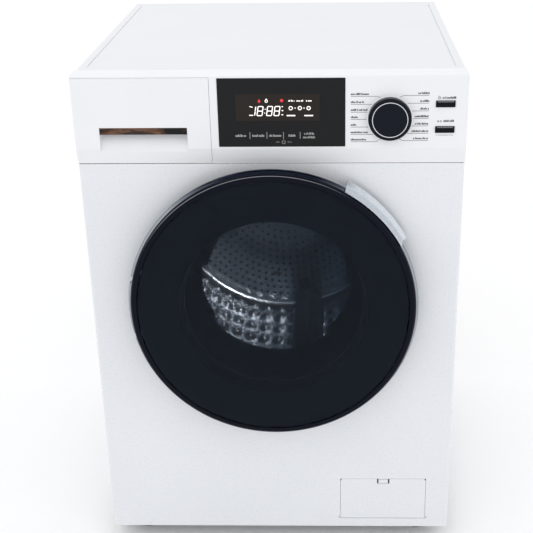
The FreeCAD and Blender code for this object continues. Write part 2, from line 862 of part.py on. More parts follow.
# ---------------------------------------------------------------- filter access
def filter_flap():
    """The small service flap, hinged along its lower edge, with a coin-slot tab at the top."""
    x_low, x_high = FLAP_X[0] + 0.5, FLAP_X[1] - 0.5
    z_low, z_high = FLAP_Z[0] + 0.9, FLAP_Z[1] - 0.5
    plate = padded(
        "XZ_Plane", [(x_low, z_low), (x_high, z_low), (x_high, z_high), (x_low, z_high)], 0, 2.4
    )
    high = z_high
    fillet(plate, 5, lambda p, t: abs(t.y) > 0.9 and near(p.z, high))
    slot = span((172, 193.5), (-1, 1.6), (121.5, 140))
    gaps = [span((x, x + 2.2), (-1, 3), (121.5, 140)) for x in (172, 191.3)]
    tab = span((174.8, 190.7), (0, 2.4), (123.4, z_high - 1.2))
    pins = rod(0.9, x_high - x_low + 4, x_low - 2, 1.2, 51, "x")
    return node("filter_flap", fuse(cut(plate, slot, *gaps), tab, pins))


def drain_pump():
    """The drain pump: filter neck, volute, motor, and the two spigots."""
    x, z = S.pump_x, S.pump_z
    neck = rod(32, 64, x, 20, z)
    volute = rod(34, 70, x, 82, z)
    motor = rod(27, 40, x, 150, z)
    inlet = rod(16, 38, x, SUMP_DEPTH, z + 14, "z")
    outlet = rod(11, 36, x + 10, 125, z + 10, "x")
    bore = rod(28, 62, x, 15, z)
    inlet_bore = rod(13, 40, x, SUMP_DEPTH, z + 14, "z")
    outlet_bore = rod(8, 40, x + 10, 125, z + 10, "x")
    return node("drain_pump", cut(fuse(neck, volute, motor, inlet, outlet), bore, inlet_bore, outlet_bore))


def pump_filter():
    """The lint filter: a screw plug with a grip, and an open cage behind it."""
    x, z = S.pump_x, S.pump_z
    plug = rod(27.6, 14, x, 16, z)
    grip = span((x - 22, x + 22), (6.5, 17), (z - 4.5, z + 4.5))
    cage = cut(rod(22, 44, x, 29, z), rod(19, 40, x, 31, z))
    windows = [span((x - 30, x + 30), (d, d + 7), (z - 7, z + 7)) for d in (38.0, 54.0)]
    return node("pump_filter", fuse(plug, grip, cut(cage, *windows)))


def drain_pipe():
    """The inner drain hose, from the pump to the spigot in the back panel."""
    route = [(228.2, 125, DRAIN_Z), (DRAIN_X, 125, DRAIN_Z), (DRAIN_X, 574, DRAIN_Z)]
    tube = shaped("DrainTube", hose(route, 14, 11, 8))
    spigot = ring(7, 9.5, 574, 598, DRAIN_X, DRAIN_Z)
    collar = ring(7, 11, 570, 576, DRAIN_X, DRAIN_Z)
    return node("drain_pipe", fuse(tube, spigot, collar))


def sump_hose():
    """The ribbed rubber hose from the tub's sump down to the pump."""
    low, pitch, ribs = 125.0, 8.0, 8
    outer = []
    for i in range(ribs):
        outer += [(18.4, low + 12 + i * pitch), (22, low + 16 + i * pitch)]
    top = low + 12 + ribs * pitch
    corners = [(16.3, low), (18.4, low), *outer, (18.4, top), (18.4, top + 14), (16.3, top + 14)]
    body = doc.addObject("PartDesign::Body", "Bellows")
    profile = outline(body, "XZ_Plane", corners)
    feature = body.newObject("PartDesign::Revolution", "Revolution")
    feature.Profile = profile
    feature.ReferenceAxis = (profile, ["V_Axis"])
    feature.Angle = 360
    return node("sump_hose", put(body, S.pump_x, SUMP_DEPTH, 0))


# ---------------------------------------------------------------- tub
def spring_ears(depth):
    """The two ears, one on each side of the tub, that a pair of springs holds."""
    ears = []
    for side in (-1, 1):
        ends = sorted((245 * side, (S.spring_x.value + 13) * side))
        ears.append(span(ends, (depth - 4, depth + 4), (604, 612)))
    return ears


def outside_tub(*items):
    """Fused items, trimmed to start just under the tub's outer surface."""
    return cut(fuse(*items), rod(S.tub_radius - 1, 500, 0, 60, S.door_z))


def tub_front():
    """The front half of the outer tub, with its neck, sump spigot and brackets."""
    outer, wall, split = S.tub_radius, S.tub_wall, S.tub_split
    half = revolved(
        [
            (166, 72),
            (170, 72),
            (170, 82),
            (outer - 24, 84),
            (outer - 8, 90),
            (outer, 102),
            (outer, split - 7),
            (outer + 7, split - 7),
            (outer + 7, split),
            (outer - wall, split),
            (outer - wall, 104),
            (outer - wall - 6, 93.5),
            (outer - wall - 21, 88),
            (166, 86),
        ]
    )
    spigot = rod(16, 100, S.pump_x, SUMP_DEPTH, 200, "z")
    lugs = spring_ears(RAIL_DEPTHS[0])
    for side in (-1, 1):
        x = S.damper_x * side
        lugs.append(span((x - 14, x + 14), (S.damper_depth - 9, S.damper_depth + 6), (256, 300)))
    bore = rod(13, 120, S.pump_x, SUMP_DEPTH, 195, "z")
    return node("tub_front", cut(fuse(half, outside_tub(spigot, *lugs)), bore))


def tub_rear():
    """The rear half of the outer tub, with the bearing hub and its ribs."""
    outer, wall, split, rear = S.tub_radius, S.tub_wall, S.tub_split, S.tub_rear
    low = split + 0.3
    half = revolved(
        [
            (outer - wall, low),
            (outer + 7, low),
            (outer + 7, low + 7),
            (outer, low + 7),
            (outer, rear - 4),
            (outer - 10, rear + 6),
            (60, rear + 6),
            (48, rear + 45),
            (26, rear + 45),
            (26, rear + 28),
            (20, rear + 28),
            (20, rear + 24),
            (31, rear + 24),
            (31, rear + 8),
            (33, rear + 8),
            (33, rear - 3),
            (60, rear),
            (outer - wall - 6, rear),
            (outer - wall, rear - 6),
        ]
    )
    ribs = []
    for i in range(12):
        turn = FreeCAD.Rotation(Y_AXIS, 30 * i + 15)
        corner = turn.multVec(FreeCAD.Vector(62, 0, -2))
        rib = doc.addObject("Part::Box", "Rib")
        drive(rib, "Length", outer - 82)
        rib.Width, rib.Height = 8, 4
        ribs.append(put(rib, corner.x, rear + 5, S.door_z + corner.z, turn))
    ears = outside_tub(*spring_ears(RAIL_DEPTHS[1]))
    heater_port = span((-36, 36), (rear - 8, rear + 20), (214, 230))
    return node("tub_rear", cut(fuse(half, ears, *ribs), heater_port))


def counterweight_upper():
    """The cast block on top of the tub, hollowed to sit on it."""
    side = [(-78, 700), (140, 700), (140, 770), (118, 802), (-56, 802), (-78, 780)]
    block = padded("XZ_Plane", side, 120, 275)
    seat = rod(S.tub_radius + 0.4, 400, 0, 60, S.door_z)
    return node("counterweight_upper", cut(block, seat))


def counterweight_lower():
    """The cast crescent below the port, on the tub's front."""
    crescent = revolved([(192, 38), (266, 38), (266, 83.4), (192, 82)], angle=132, first=204)
    return node("counterweight_lower", crescent)


def door_gasket():
    """The rubber bellows between the port and the tub, with its sealing lip round the bowl."""
    gasket = revolved(
        [
            (164.6, -0.3),
            (164.6, 28.6),
            (183, 35.6),
            (183, 48.4),
            (166, 55),
            (166, 60.2),
            (174.2, 62),
            (174.2, 81.6),
            (170.4, 81.6),
            (170.4, 65.6),
            (162.2, 63.6),
            (162.2, 52.4),
            (179.2, 46.2),
            (179.2, 38),
            (161, 31),
            (161, 13.5),
            (150.8, 15),
            (150.8, 12.4),
            (161, 8),
            (161, -0.3),
            (158, -0.3),
            (158, -2.6),
            (170, -2.6),
            (170, -0.3),
        ]
    )
    return node("door_gasket", gasket)


def tub_heater():
    """The tubular heating element under the drum, with its sealed flange."""
    x, z, bend = 26.0, 222.0, 190.0
    legs = [rod(4, 310, side * x, bend, z) for side in (-1, 1)]
    nose = doc.addObject("Part::Torus", "Nose")
    drive(nose, "Radius1", x)
    drive(nose, "Radius2", 4)
    nose.Angle3 = 180
    put(nose, 0, bend, z, FreeCAD.Rotation(UP, 180))
    flange = span((-35.8, 35.8), (S.tub_rear - 3, S.tub_rear + 12), (214.2, 229.8))
    pins = [span((side * x - 3, side * x + 3), (S.tub_rear + 10, S.tub_rear + 24), (221, 223)) for side in (-1, 1)]
    return node("tub_heater", fuse(*legs, nose, flange, *pins))


# ---------------------------------------------------------------- drum
def drum_shell():
    """The stainless drum: rolled mouth, perforated wall and dished back."""
    edge, gauge, front, rear, mouth = S.drum_radius, S.drum_gauge, S.drum_front, S.drum_rear, S.drum_mouth
    shell = revolved(
        [
            (mouth, front + 7),
            (mouth + 1.5, front + 1),
            (mouth + 5, front - 1.5),
            (mouth + 12, front - 1.5),
            (edge - 22, front + 2),
            (edge - 8, front + 8),
            (edge, front + 20),
            (edge, rear - 8),
            (edge - 8, rear),
            (110, rear),
            (96, rear + 3),
            (0, rear + 3),
            (0, rear + 3 - gauge),
            (96, rear + 3 - gauge),
            (110, rear - gauge),
            (edge - 9, rear - gauge),
            (edge - gauge, rear - 9),
            (edge - gauge, front + 21),
            (edge - 9.5, front + 10),
            (edge - 23, front + 4),
            (mouth + 12, front + 0.4),
            (mouth + 5.5, front + 0.4),
            (mouth + 3.4, front + 2),
            (mouth + 1.8, front + 7),
        ]
    )
    holes = []
    rows, per_row = 7, 15
    for row_index in range(rows):
        depth = front.value + 55 + row_index * 45
        for i in range(per_row):
            angle = math.radians(360 / per_row * (i + 0.5 * (row_index % 2)))
            out = FreeCAD.Vector(math.cos(angle), 0, math.sin(angle))
            start = FreeCAD.Vector(0, FACE_Y.value + depth, S.door_z.value) + out * 235
            holes.append(Part.makeCylinder(4, 20, start, out))
    perforation = shaped("Perforation", Part.makeCompound(holes))
    return node("drum_shell", cut(shell, perforation))


LIFTER_ANGLES = (41.0, 161.0, 281.0)


def drum_lifters():
    """The three hollow plastic paddles inside the drum."""
    paddles = []
    for angle in LIFTER_ANGLES:
        body = doc.addObject("PartDesign::Body", "Paddle")
        profile = outline(body, "XZ_Plane", [(-31, 237), (31, 237), (22, 214), (12, 194), (-12, 194), (-22, 214)])
        pad = body.newObject("PartDesign::Pad", "Pad")
        pad.Profile = profile
        pad.Length = 318
        pad.Reversed = True
        fillet(body, 5, lambda p, t: abs(t.y) > 0.9 and p.z < 200)
        turn = FreeCAD.Rotation(Y_AXIS, 90 - angle)
        paddles.append(put(body, 0, S.drum_front + 30, S.door_z, turn))
    return node("drum_lifters", group(*paddles))


def drum_spider():
    """The cast three-armed cross that carries the drum on its shaft."""
    hub = rod(40, 22, 0, S.drum_rear + 3.3, S.door_z)
    arms = []
    for i in range(3):
        body = doc.addObject("PartDesign::Body", "Arm")
        profile = outline(body, "XZ_Plane", [(-24, 30), (24, 30), (15, 200), (11, 224), (-11, 224), (-15, 200)])
        pad = body.newObject("PartDesign::Pad", "Pad")
        pad.Profile = profile
        pad.Length = 13
        pad.Reversed = True
        turn = FreeCAD.Rotation(Y_AXIS, 120 * i + 60)
        arms.append(put(body, 0, S.drum_rear + 3.3, S.door_z, turn))
    bore = rod(S.shaft_radius + 0.02, 40, 0, S.drum_rear, S.door_z)
    return node("drum_spider", cut(fuse(hub, *arms), bore))


def drum_shaft():
    steps = revolved(
        [
            (0, S.drum_rear + 3.5),
            (S.shaft_radius, S.drum_rear + 3.5),
            (S.shaft_radius, 526),
            (12.5, 526),
            (12.5, 550),
            (10, 550),
            (10, 573),
            (0, 573),
        ]
    )
    return node("drum_shaft", steps)


def drum_bearings():
    """The two ball bearings pressed into the tub's hub."""
    front = ring(15.06, 30.95, S.tub_rear + 8.3, S.tub_rear + 23.7)
    rear = ring(12.56, 25.95, S.tub_rear + 28.3, S.tub_rear + 43)
    return node("drum_bearings", group(front, rear))


def drum_pulley():
    """The large cast pulley, with a flat groove for the belt and six lightening holes."""
    edge, low = S.pulley_radius, S.pulley_depth
    wheel = revolved(
        [
            (10.04, low),
            (26, low),
            (26, low + 5),
            (edge - 12, low + 5),
            (edge - 12, low),
            (edge + 3, low),
            (edge + 3, low + 2),
            (edge, low + 2),
            (edge, low + 16),
            (edge + 3, low + 16),
            (edge + 3, low + 18),
            (edge - 12, low + 18),
            (edge - 12, low + 12),
            (26, low + 12),
            (26, low + 18),
            (10.04, low + 18),
        ]
    )
    holes = []
    for i in range(6):
        angle = math.radians(60 * i)
        holes.append(rod(26, 30, 77 * math.cos(angle), low - 6, S.door_z + 77 * math.sin(angle)))
    return node("drum_pulley", cut(wheel, *holes))


# ---------------------------------------------------------------- drive
def drive_motor():
    """The motor under the tub, with its end shields and mounting lugs."""
    x, z = S.motor_x, S.motor_z
    can = rod(60, 120, x, 408, z)
    shields = [rod(62, 12, x, 398, z), rod(62, 12, x, 526, z)]
    lugs = [span((x + dx - 8, x + dx + 8), (d, d + 14), (z + 40, z + 88)) for dx in (-40, 40) for d in (402.0, 522.0)]
    bore = rod(6.06, 30, x, 515, z)
    clear = rod(S.tub_radius + 0.3, 400, 0, 300, S.door_z)
    return node("drive_motor", cut(fuse(can, *shields, *lugs), bore, clear))


def motor_pulley():
    """The rotor shaft's free end with the small belt pulley."""
    x, z, low = S.motor_x, S.motor_z, S.pulley_depth
    shaft = rod(6, low - 520, x, 520, z)
    wheel = revolved(
        [
            (0, low - 1),
            (15, low - 1),
            (15, low + 1),
            (S.motor_pulley_radius, low + 1),
            (S.motor_pulley_radius, low + 17),
            (15, low + 17),
            (15, low + 19),
            (0, low + 19),
        ],
        x,
        z,
    )
    return node("motor_pulley", fuse(shaft, wheel))


def drive_belt():
    """The ribbed belt, as a band of even thickness round both pulleys."""
    big, small = S.pulley_radius.value + 0.3, S.motor_pulley_radius.value + 0.3
    low, width, thick = S.pulley_depth.value + 3, 12.0, 2.4
    far = FreeCAD.Vector(0, FACE_Y.value + low, S.door_z.value)
    near_centre = FreeCAD.Vector(S.motor_x.value, FACE_Y.value + low, S.motor_z.value)

    def loop(grow):
        line = near_centre - far
        lean = math.acos((big - small) / line.Length)
        heading = math.atan2(line.z, line.x)
        touches = []
        for side in (1, -1):
            out = FreeCAD.Vector(math.cos(heading + side * lean), 0, math.sin(heading + side * lean))
            touches.append((far + out * (big + grow), near_centre + out * (small + grow)))
        away = (far - near_centre).normalize()
        edges = [
            Part.LineSegment(*touches[0]).toShape(),
            Part.Arc(touches[0][1], near_centre - away * (small + grow), touches[1][1]).toShape(),
            Part.LineSegment(touches[1][1], touches[1][0]).toShape(),
            Part.Arc(touches[1][0], far + away * (big + grow), touches[0][0]).toShape(),
        ]
        face = Part.Face(Part.Wire(edges))
        return face.extrude(FreeCAD.Vector(0, width, 0))

    return node("drive_belt", shaped("DriveBelt", loop(thick).cut(loop(0))))


# ---------------------------------------------------------------- drying duct
FAN_X, FAN_DEPTH = 210.0, 392.0


def dryer_duct():
    """The hot-air duct on the tub, with the fan's scroll at its rear end."""
    channel = span((168, 252), (150, 400), (722, 768))
    scroll = rod(46, 46, FAN_X, FAN_DEPTH, 722, "z")
    hollow = span((171, 249), (153, 398), (725, 765))
    scroll_hollow = rod(43, 40, FAN_X, FAN_DEPTH, 725, "z")
    motor = rod(24, 34, FAN_X, FAN_DEPTH, 767, "z")
    spindle = rod(4.1, 30, FAN_X, FAN_DEPTH, 760, "z")
    outlet = span((172, 248), (150, 190), (650, 724))
    outlet_bore = span((176, 244), (155, 186), (640, 730))
    feet = [span((176, 196), (d, d + 12), (680, 724)) for d in (250.0, 400.0)]
    clear = rod(S.tub_radius + 0.3, 500, 0, 60, S.door_z)
    body = fuse(channel, scroll, motor, outlet, *feet)
    return node("dryer_duct", cut(body, hollow, scroll_hollow, outlet_bore, spindle, clear))


def dryer_fan():
    """The drying fan's impeller on its spindle."""
    hub = rod(12, 30, FAN_X, FAN_DEPTH, 728, "z")
    plate = rod(38, 2, FAN_X, FAN_DEPTH, 728, "z")
    spindle = rod(4, 50, FAN_X, FAN_DEPTH, 735, "z")
    blades = []
    for i in range(12):
        blade = doc.addObject("Part::Box", "Blade")
        blade.Length, blade.Width, blade.Height = 28, 1.6, 28
        turn = FreeCAD.Rotation(UP, 30 * i)
        start = turn.multVec(FreeCAD.Vector(9.5, -0.8, 0))
        base = FreeCAD.Vector(FAN_X, FACE_Y.value + FAN_DEPTH, 729) + start
        blade.Placement = FreeCAD.Placement(base, turn)
        blades.append(blade)
    return node("dryer_fan", fuse(hub, plate, spindle, *blades))


# ---------------------------------------------------------------- suspension and feet
def damper_cylinders():
    """The lower halves of the two friction dampers, standing on the floor pan."""
    tubes = []
    for side in (-1, 1):
        x, depth = S.damper_x * side, S.damper_depth
        tube = fuse(rod(14, 132, x, depth, 54, "z"), span((x - 12, x + 12), (depth - 10, depth + 10), (50.2, 62)))
        tubes.append(cut(tube, rod(11, 116, x, depth, 66, "z"), rod(5.6, 40, x, depth, 170, "z")))
    return node("damper_cylinders", group(*tubes))


def damper_rods():
    """The dampers' sliding rods and pistons, fixed to the tub's lugs."""
    rods = []
    for side in (-1, 1):
        x, depth = S.damper_x * side, S.damper_depth
        rods.append(fuse(rod(5, 146, x, depth, 109.8, "z"), rod(10.4, 20, x, depth, 110, "z"), rod(7, 8, x, depth, 247.8, "z")))
    return node("damper_rods", group(*rods))


def suspension_springs():
    """Four coil springs of twelve-sided wire, from the rails down to the tub's lugs."""
    wire, coil, pitch, sides = 2.0, 11.0, 11.0, 12
    low, high = SPRING_Z
    helix = Part.makeHelix(pitch, high - low, coil)
    turns = [2 * math.pi * i / sides for i in range(sides + 1)]
    corners = [FreeCAD.Vector(coil + wire * math.cos(a), 0, wire * math.sin(a)) for a in turns]
    spring = Part.Wire(helix).makePipeShell([Part.makePolygon(corners)], True, True)
    springs = []
    for x in (-S.spring_x.value, S.spring_x.value):
        for depth in RAIL_DEPTHS:
            one = spring.copy()
            one.translate(FreeCAD.Vector(x, FACE_Y.value + depth, low))
            springs.append(one)
    return node("suspension_springs", shaped("SuspensionSprings", Part.makeCompound(springs)))


def foot(name, x, depth):
    """A levelling foot: rubber pad, hexagon and threaded stud, as plain turned shapes."""
    pad = taper(21, 18, 10, x, depth, 0)
    collar = rod(12, 7, x, depth, 9.5, "z")
    stud = rod(5, 44, x, depth, 9, "z")
    return node(name, fuse(pad, collar, stud))


# ---------------------------------------------------------------- rear fittings
def inlet_valve():
    """The twin water valve, with two threaded inlets through the back panel."""
    body = span((188, 262), (540, 572), (734, 770))
    parts = [body]
    for x in VALVE_X:
        parts.append(rod(16, 16, x, 568, VALVE_Z))
        parts.append(rod(13.2, S.body_depth - 575, x, 575, VALVE_Z))
    bores = [rod(8, S.body_depth - 570, x, 575, VALVE_Z) for x in VALVE_X]
    coils = [rod(13, 26, x, 552, 712, "z") for x in VALVE_X]
    return node("inlet_valve", cut(fuse(*parts, *coils), *bores))


def mains_gland():
    """The strain relief where the mains lead enters."""
    gland = fuse(rod(9, 20, GLAND_X, 574, GLAND_Z), rod(13, 5, GLAND_X, S.rear_face + 1.5, GLAND_Z))
    return node("mains_gland", cut(gland, rod(4, 40, GLAND_X, 565, GLAND_Z)))


def transit_hole_caps():
    """Blanking caps in the four transit-bolt holes."""
    face = S.rear_face
    caps = [fuse(rod(15.8, 8, x, face - 4, z), rod(19, 2.6, x, face + 1.5, z)) for x, z in TRANSIT_HOLES]
    return node("transit_hole_caps", group(*caps))


def cabinet_screws():
    """Pan-head screws round the back panel."""
    screws = []
    for x, z in REAR_SCREWS:
        shank = rod(2.2, 9, x, S.rear_face - 7.6, z)
        screws.append(fuse(shank, rod(4.4, 2.4, x, S.rear_face + 1.4, z)))
    return node("cabinet_screws", group(*screws))


# ---------------------------------------------------------------- assembly
def build():
    cabinet_shell()
    front_panel()
    rear_panel()
    base_pan()
    top_cover()
    control_fascia()
    display_lens()
    control_board()
    programme_knob()
    knob_ring()
    press_key("power_button", S.power_z)
    press_key("start_button", S.start_z)
    dispenser_housing()
    drawer_front()
    drawer_handle_trim()
    drawer_tray()
    door_outer_ring()
    door_trim_ring()
    door_handle()
    door_cover_glass()
    door_inner_frame()
    door_bowl()
    door_hinge_arm()
    door_hinge_bracket()
    latch_hook()
    door_lock()
    filter_flap()
    drain_pump()
    pump_filter()
    drain_pipe()
    sump_hose()
    tub_front()
    tub_rear()
    counterweight_upper()
    counterweight_lower()
    door_gasket()
    tub_heater()
    drum_shell()
    drum_lifters()
    drum_spider()
    drum_shaft()
    drum_bearings()
    drum_pulley()
    drive_motor()
    motor_pulley()
    drive_belt()
    dryer_duct()
    dryer_fan()
    damper_cylinders()
    damper_rods()
    suspension_springs()
    for side, x in (("left", -S.foot_x), ("right", S.foot_x)):
        foot(f"foot_front_{side}", x, S.foot_front)
        foot(f"foot_rear_{side}", x, S.foot_rear)
    inlet_valve()
    mains_gland()
    transit_hole_caps()
    cabinet_screws()


def check():
    """Stops the build if any object failed or any sub-part isn't a valid solid."""
    doc.recompute()
    for item in doc.Objects:
        if {"Invalid", "Error"} & set(item.State):
            raise RuntimeError(f"{item.Name} ({item.Label}) is {item.State}")
    for name, item in NODES.items():
        shape = item.Shape
        if shape.isNull() or not shape.isValid() or not shape.Solids:
            raise RuntimeError(f"{name} has no valid solid")


def export():
    os.makedirs("parts", exist_ok=True)
    for name, item in NODES.items():
        item.Shape.exportStep(f"parts/{name}.step")


build()
check()
export()
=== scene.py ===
"""Looks of a front-loading washing machine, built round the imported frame. Metres, +Z up, front at -Y."""
import math
import random
import bpy
from mathutils import Matrix, Vector


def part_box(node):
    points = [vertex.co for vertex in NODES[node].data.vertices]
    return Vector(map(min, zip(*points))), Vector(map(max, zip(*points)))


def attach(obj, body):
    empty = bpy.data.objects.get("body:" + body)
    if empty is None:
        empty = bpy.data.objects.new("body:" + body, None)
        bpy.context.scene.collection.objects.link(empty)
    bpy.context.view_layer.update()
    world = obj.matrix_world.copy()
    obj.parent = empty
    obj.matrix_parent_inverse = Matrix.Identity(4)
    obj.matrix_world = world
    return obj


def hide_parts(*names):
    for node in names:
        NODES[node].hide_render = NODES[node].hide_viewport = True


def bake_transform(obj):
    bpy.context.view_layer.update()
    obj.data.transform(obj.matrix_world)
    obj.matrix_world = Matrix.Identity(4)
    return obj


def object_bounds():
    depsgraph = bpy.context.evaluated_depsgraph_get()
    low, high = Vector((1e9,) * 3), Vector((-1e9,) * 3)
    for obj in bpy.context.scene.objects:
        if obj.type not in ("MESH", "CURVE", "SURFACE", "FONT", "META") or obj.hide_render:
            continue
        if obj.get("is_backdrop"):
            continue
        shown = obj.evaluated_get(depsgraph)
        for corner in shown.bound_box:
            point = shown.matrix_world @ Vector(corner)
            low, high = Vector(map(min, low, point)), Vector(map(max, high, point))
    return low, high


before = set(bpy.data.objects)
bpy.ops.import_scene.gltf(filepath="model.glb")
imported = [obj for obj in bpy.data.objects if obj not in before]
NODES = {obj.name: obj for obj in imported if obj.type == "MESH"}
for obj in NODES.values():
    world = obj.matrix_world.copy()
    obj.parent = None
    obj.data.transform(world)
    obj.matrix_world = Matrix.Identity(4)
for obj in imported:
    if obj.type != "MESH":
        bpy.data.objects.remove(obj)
CAD_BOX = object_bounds()
MM = 0.001
# the front panel's outer face is where depths are counted from
FACE_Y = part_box("front_panel")[0].y
DOOR_LOW, DOOR_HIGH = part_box("door_cover_glass")
CENTRE_X = (DOOR_LOW.x + DOOR_HIGH.x) / 2
CENTRE_Z = (DOOR_LOW.z + DOOR_HIGH.z) / 2
random.seed(7)


def at(x, depth, z):
    """A point given in millimetres, its depth counted back from the front panel."""
    return Vector((x * MM, FACE_Y + depth * MM, z * MM))


# ---------------------------------------------------------------- materials
class Nodes:
    """A few words for building a material's node tree."""

    def __init__(self, name):
        self.material = bpy.data.materials.new(name)
        self.material.use_nodes = True
        self.tree = self.material.node_tree
        self.shader = self.tree.nodes["Principled BSDF"]
        self.output = self.tree.nodes["Material Output"]
        self.place = self.new("ShaderNodeTexCoord").outputs["Object"]

    def new(self, kind, **values):
        made = self.tree.nodes.new(kind)
        for key, value in values.items():
            made.inputs[key].default_value = value
        return made

    def link(self, source, target):
        self.tree.links.new(source, target)

    def set(self, **values):
        for key, value in values.items():
            self.shader.inputs[key.replace("_", " ")].default_value = value

    def noise(self, scale, detail=3.0, roughness=0.5, stretch=None):
        made = self.new("ShaderNodeTexNoise", Scale=scale, Detail=detail, Roughness=roughness)
        place = self.place
        if stretch is not None:
            mapping = self.new("ShaderNodeMapping")
            mapping.inputs["Scale"].default_value = stretch
            self.link(self.place, mapping.inputs["Vector"])
            place = mapping.outputs["Vector"]
        self.link(place, made.inputs["Vector"])
        return made.outputs["Fac"]

    def ramp(self, factor, stops):
        made = self.new("ShaderNodeValToRGB")
        elements = made.color_ramp.elements
        while len(elements) < len(stops):
            elements.new(0.5)
        for element, (position, colour) in zip(elements, stops):
            element.position = position
            element.color = (*colour, 1.0)
        self.link(factor, made.inputs["Fac"])
        return made.outputs["Color"]

    def spread(self, factor, low, high):
        made = self.new("ShaderNodeMapRange")
        made.inputs["To Min"].default_value = low
        made.inputs["To Max"].default_value = high
        self.link(factor, made.inputs["Value"])
        return made.outputs["Result"]

    def bump(self, height, strength, distance, under=None):
        made = self.new("ShaderNodeBump", Strength=strength, Distance=distance)
        self.link(height, made.inputs["Height"])
        if under is not None:
            self.link(under, made.inputs["Normal"])
        self.link(made.outputs["Normal"], self.shader.inputs["Normal"])
        return made.outputs["Normal"]


def shade(colour, by):
    return tuple(min(1.0, max(0.0, c * by)) for c in colour)


def moulded(name, colour, rough, grain=900.0, depth=0.02, drift=0.03, coat=0.0, metal=0.0, stretch=None,
            gloss=0.5):
    """A paint, plastic, rubber or metal with a slow drift of colour and a fine surface texture."""
    n = Nodes(name)
    slow = n.noise(7.0, 4.0)
    stops = [(0.3, shade(colour, 1 - drift)), (0.7, shade(colour, 1 + drift))]
    n.link(n.ramp(slow, stops), n.shader.inputs["Base Color"])
    fine = n.noise(grain, 3.0, 0.6, stretch)
    n.link(n.spread(fine, rough * 0.85, rough * 1.15), n.shader.inputs["Roughness"])
    n.bump(fine, depth, 0.0002)
    n.set(Metallic=metal, Coat_Weight=coat, Coat_Roughness=0.06, Specular_IOR_Level=gloss)
    return n.material


def glass(name, tint, see, rough, sheen=(0.95, 0.97, 1.0), ior=1.5):
    """Thin glass: a clear or tinted film with a mirror on it that strengthens at a slant."""
    n = Nodes(name)
    clear = n.new("ShaderNodeBsdfTransparent")
    clear.inputs["Color"].default_value = (*shade(tint, see), 1.0)
    mirror = n.new("ShaderNodeBsdfGlossy")
    mirror.inputs["Color"].default_value = (*sheen, 1.0)
    slow = n.noise(30.0, 2.0)
    n.link(n.spread(slow, rough * 0.7, rough * 1.3), mirror.inputs["Roughness"])
    edge = n.new("ShaderNodeFresnel", IOR=ior)
    mix = n.new("ShaderNodeMixShader")
    n.link(edge.outputs["Fac"], mix.inputs[0])
    n.link(clear.outputs["BSDF"], mix.inputs[1])
    n.link(mirror.outputs["BSDF"], mix.inputs[2])
    n.link(mix.outputs["Shader"], n.output.inputs["Surface"])
    n.tree.nodes.remove(n.shader)
    return n.material


def lit(name, colour, strength):
    """A mark behind the display that glows."""
    n = Nodes(name)
    glow = n.ramp(n.noise(400.0), [(0.2, shade(colour, 0.88)), (0.8, colour)])
    n.link(glow, n.shader.inputs["Base Color"])
    n.link(glow, n.shader.inputs["Emission Color"])
    n.set(Emission_Strength=strength, Roughness=0.5)
    return n.material


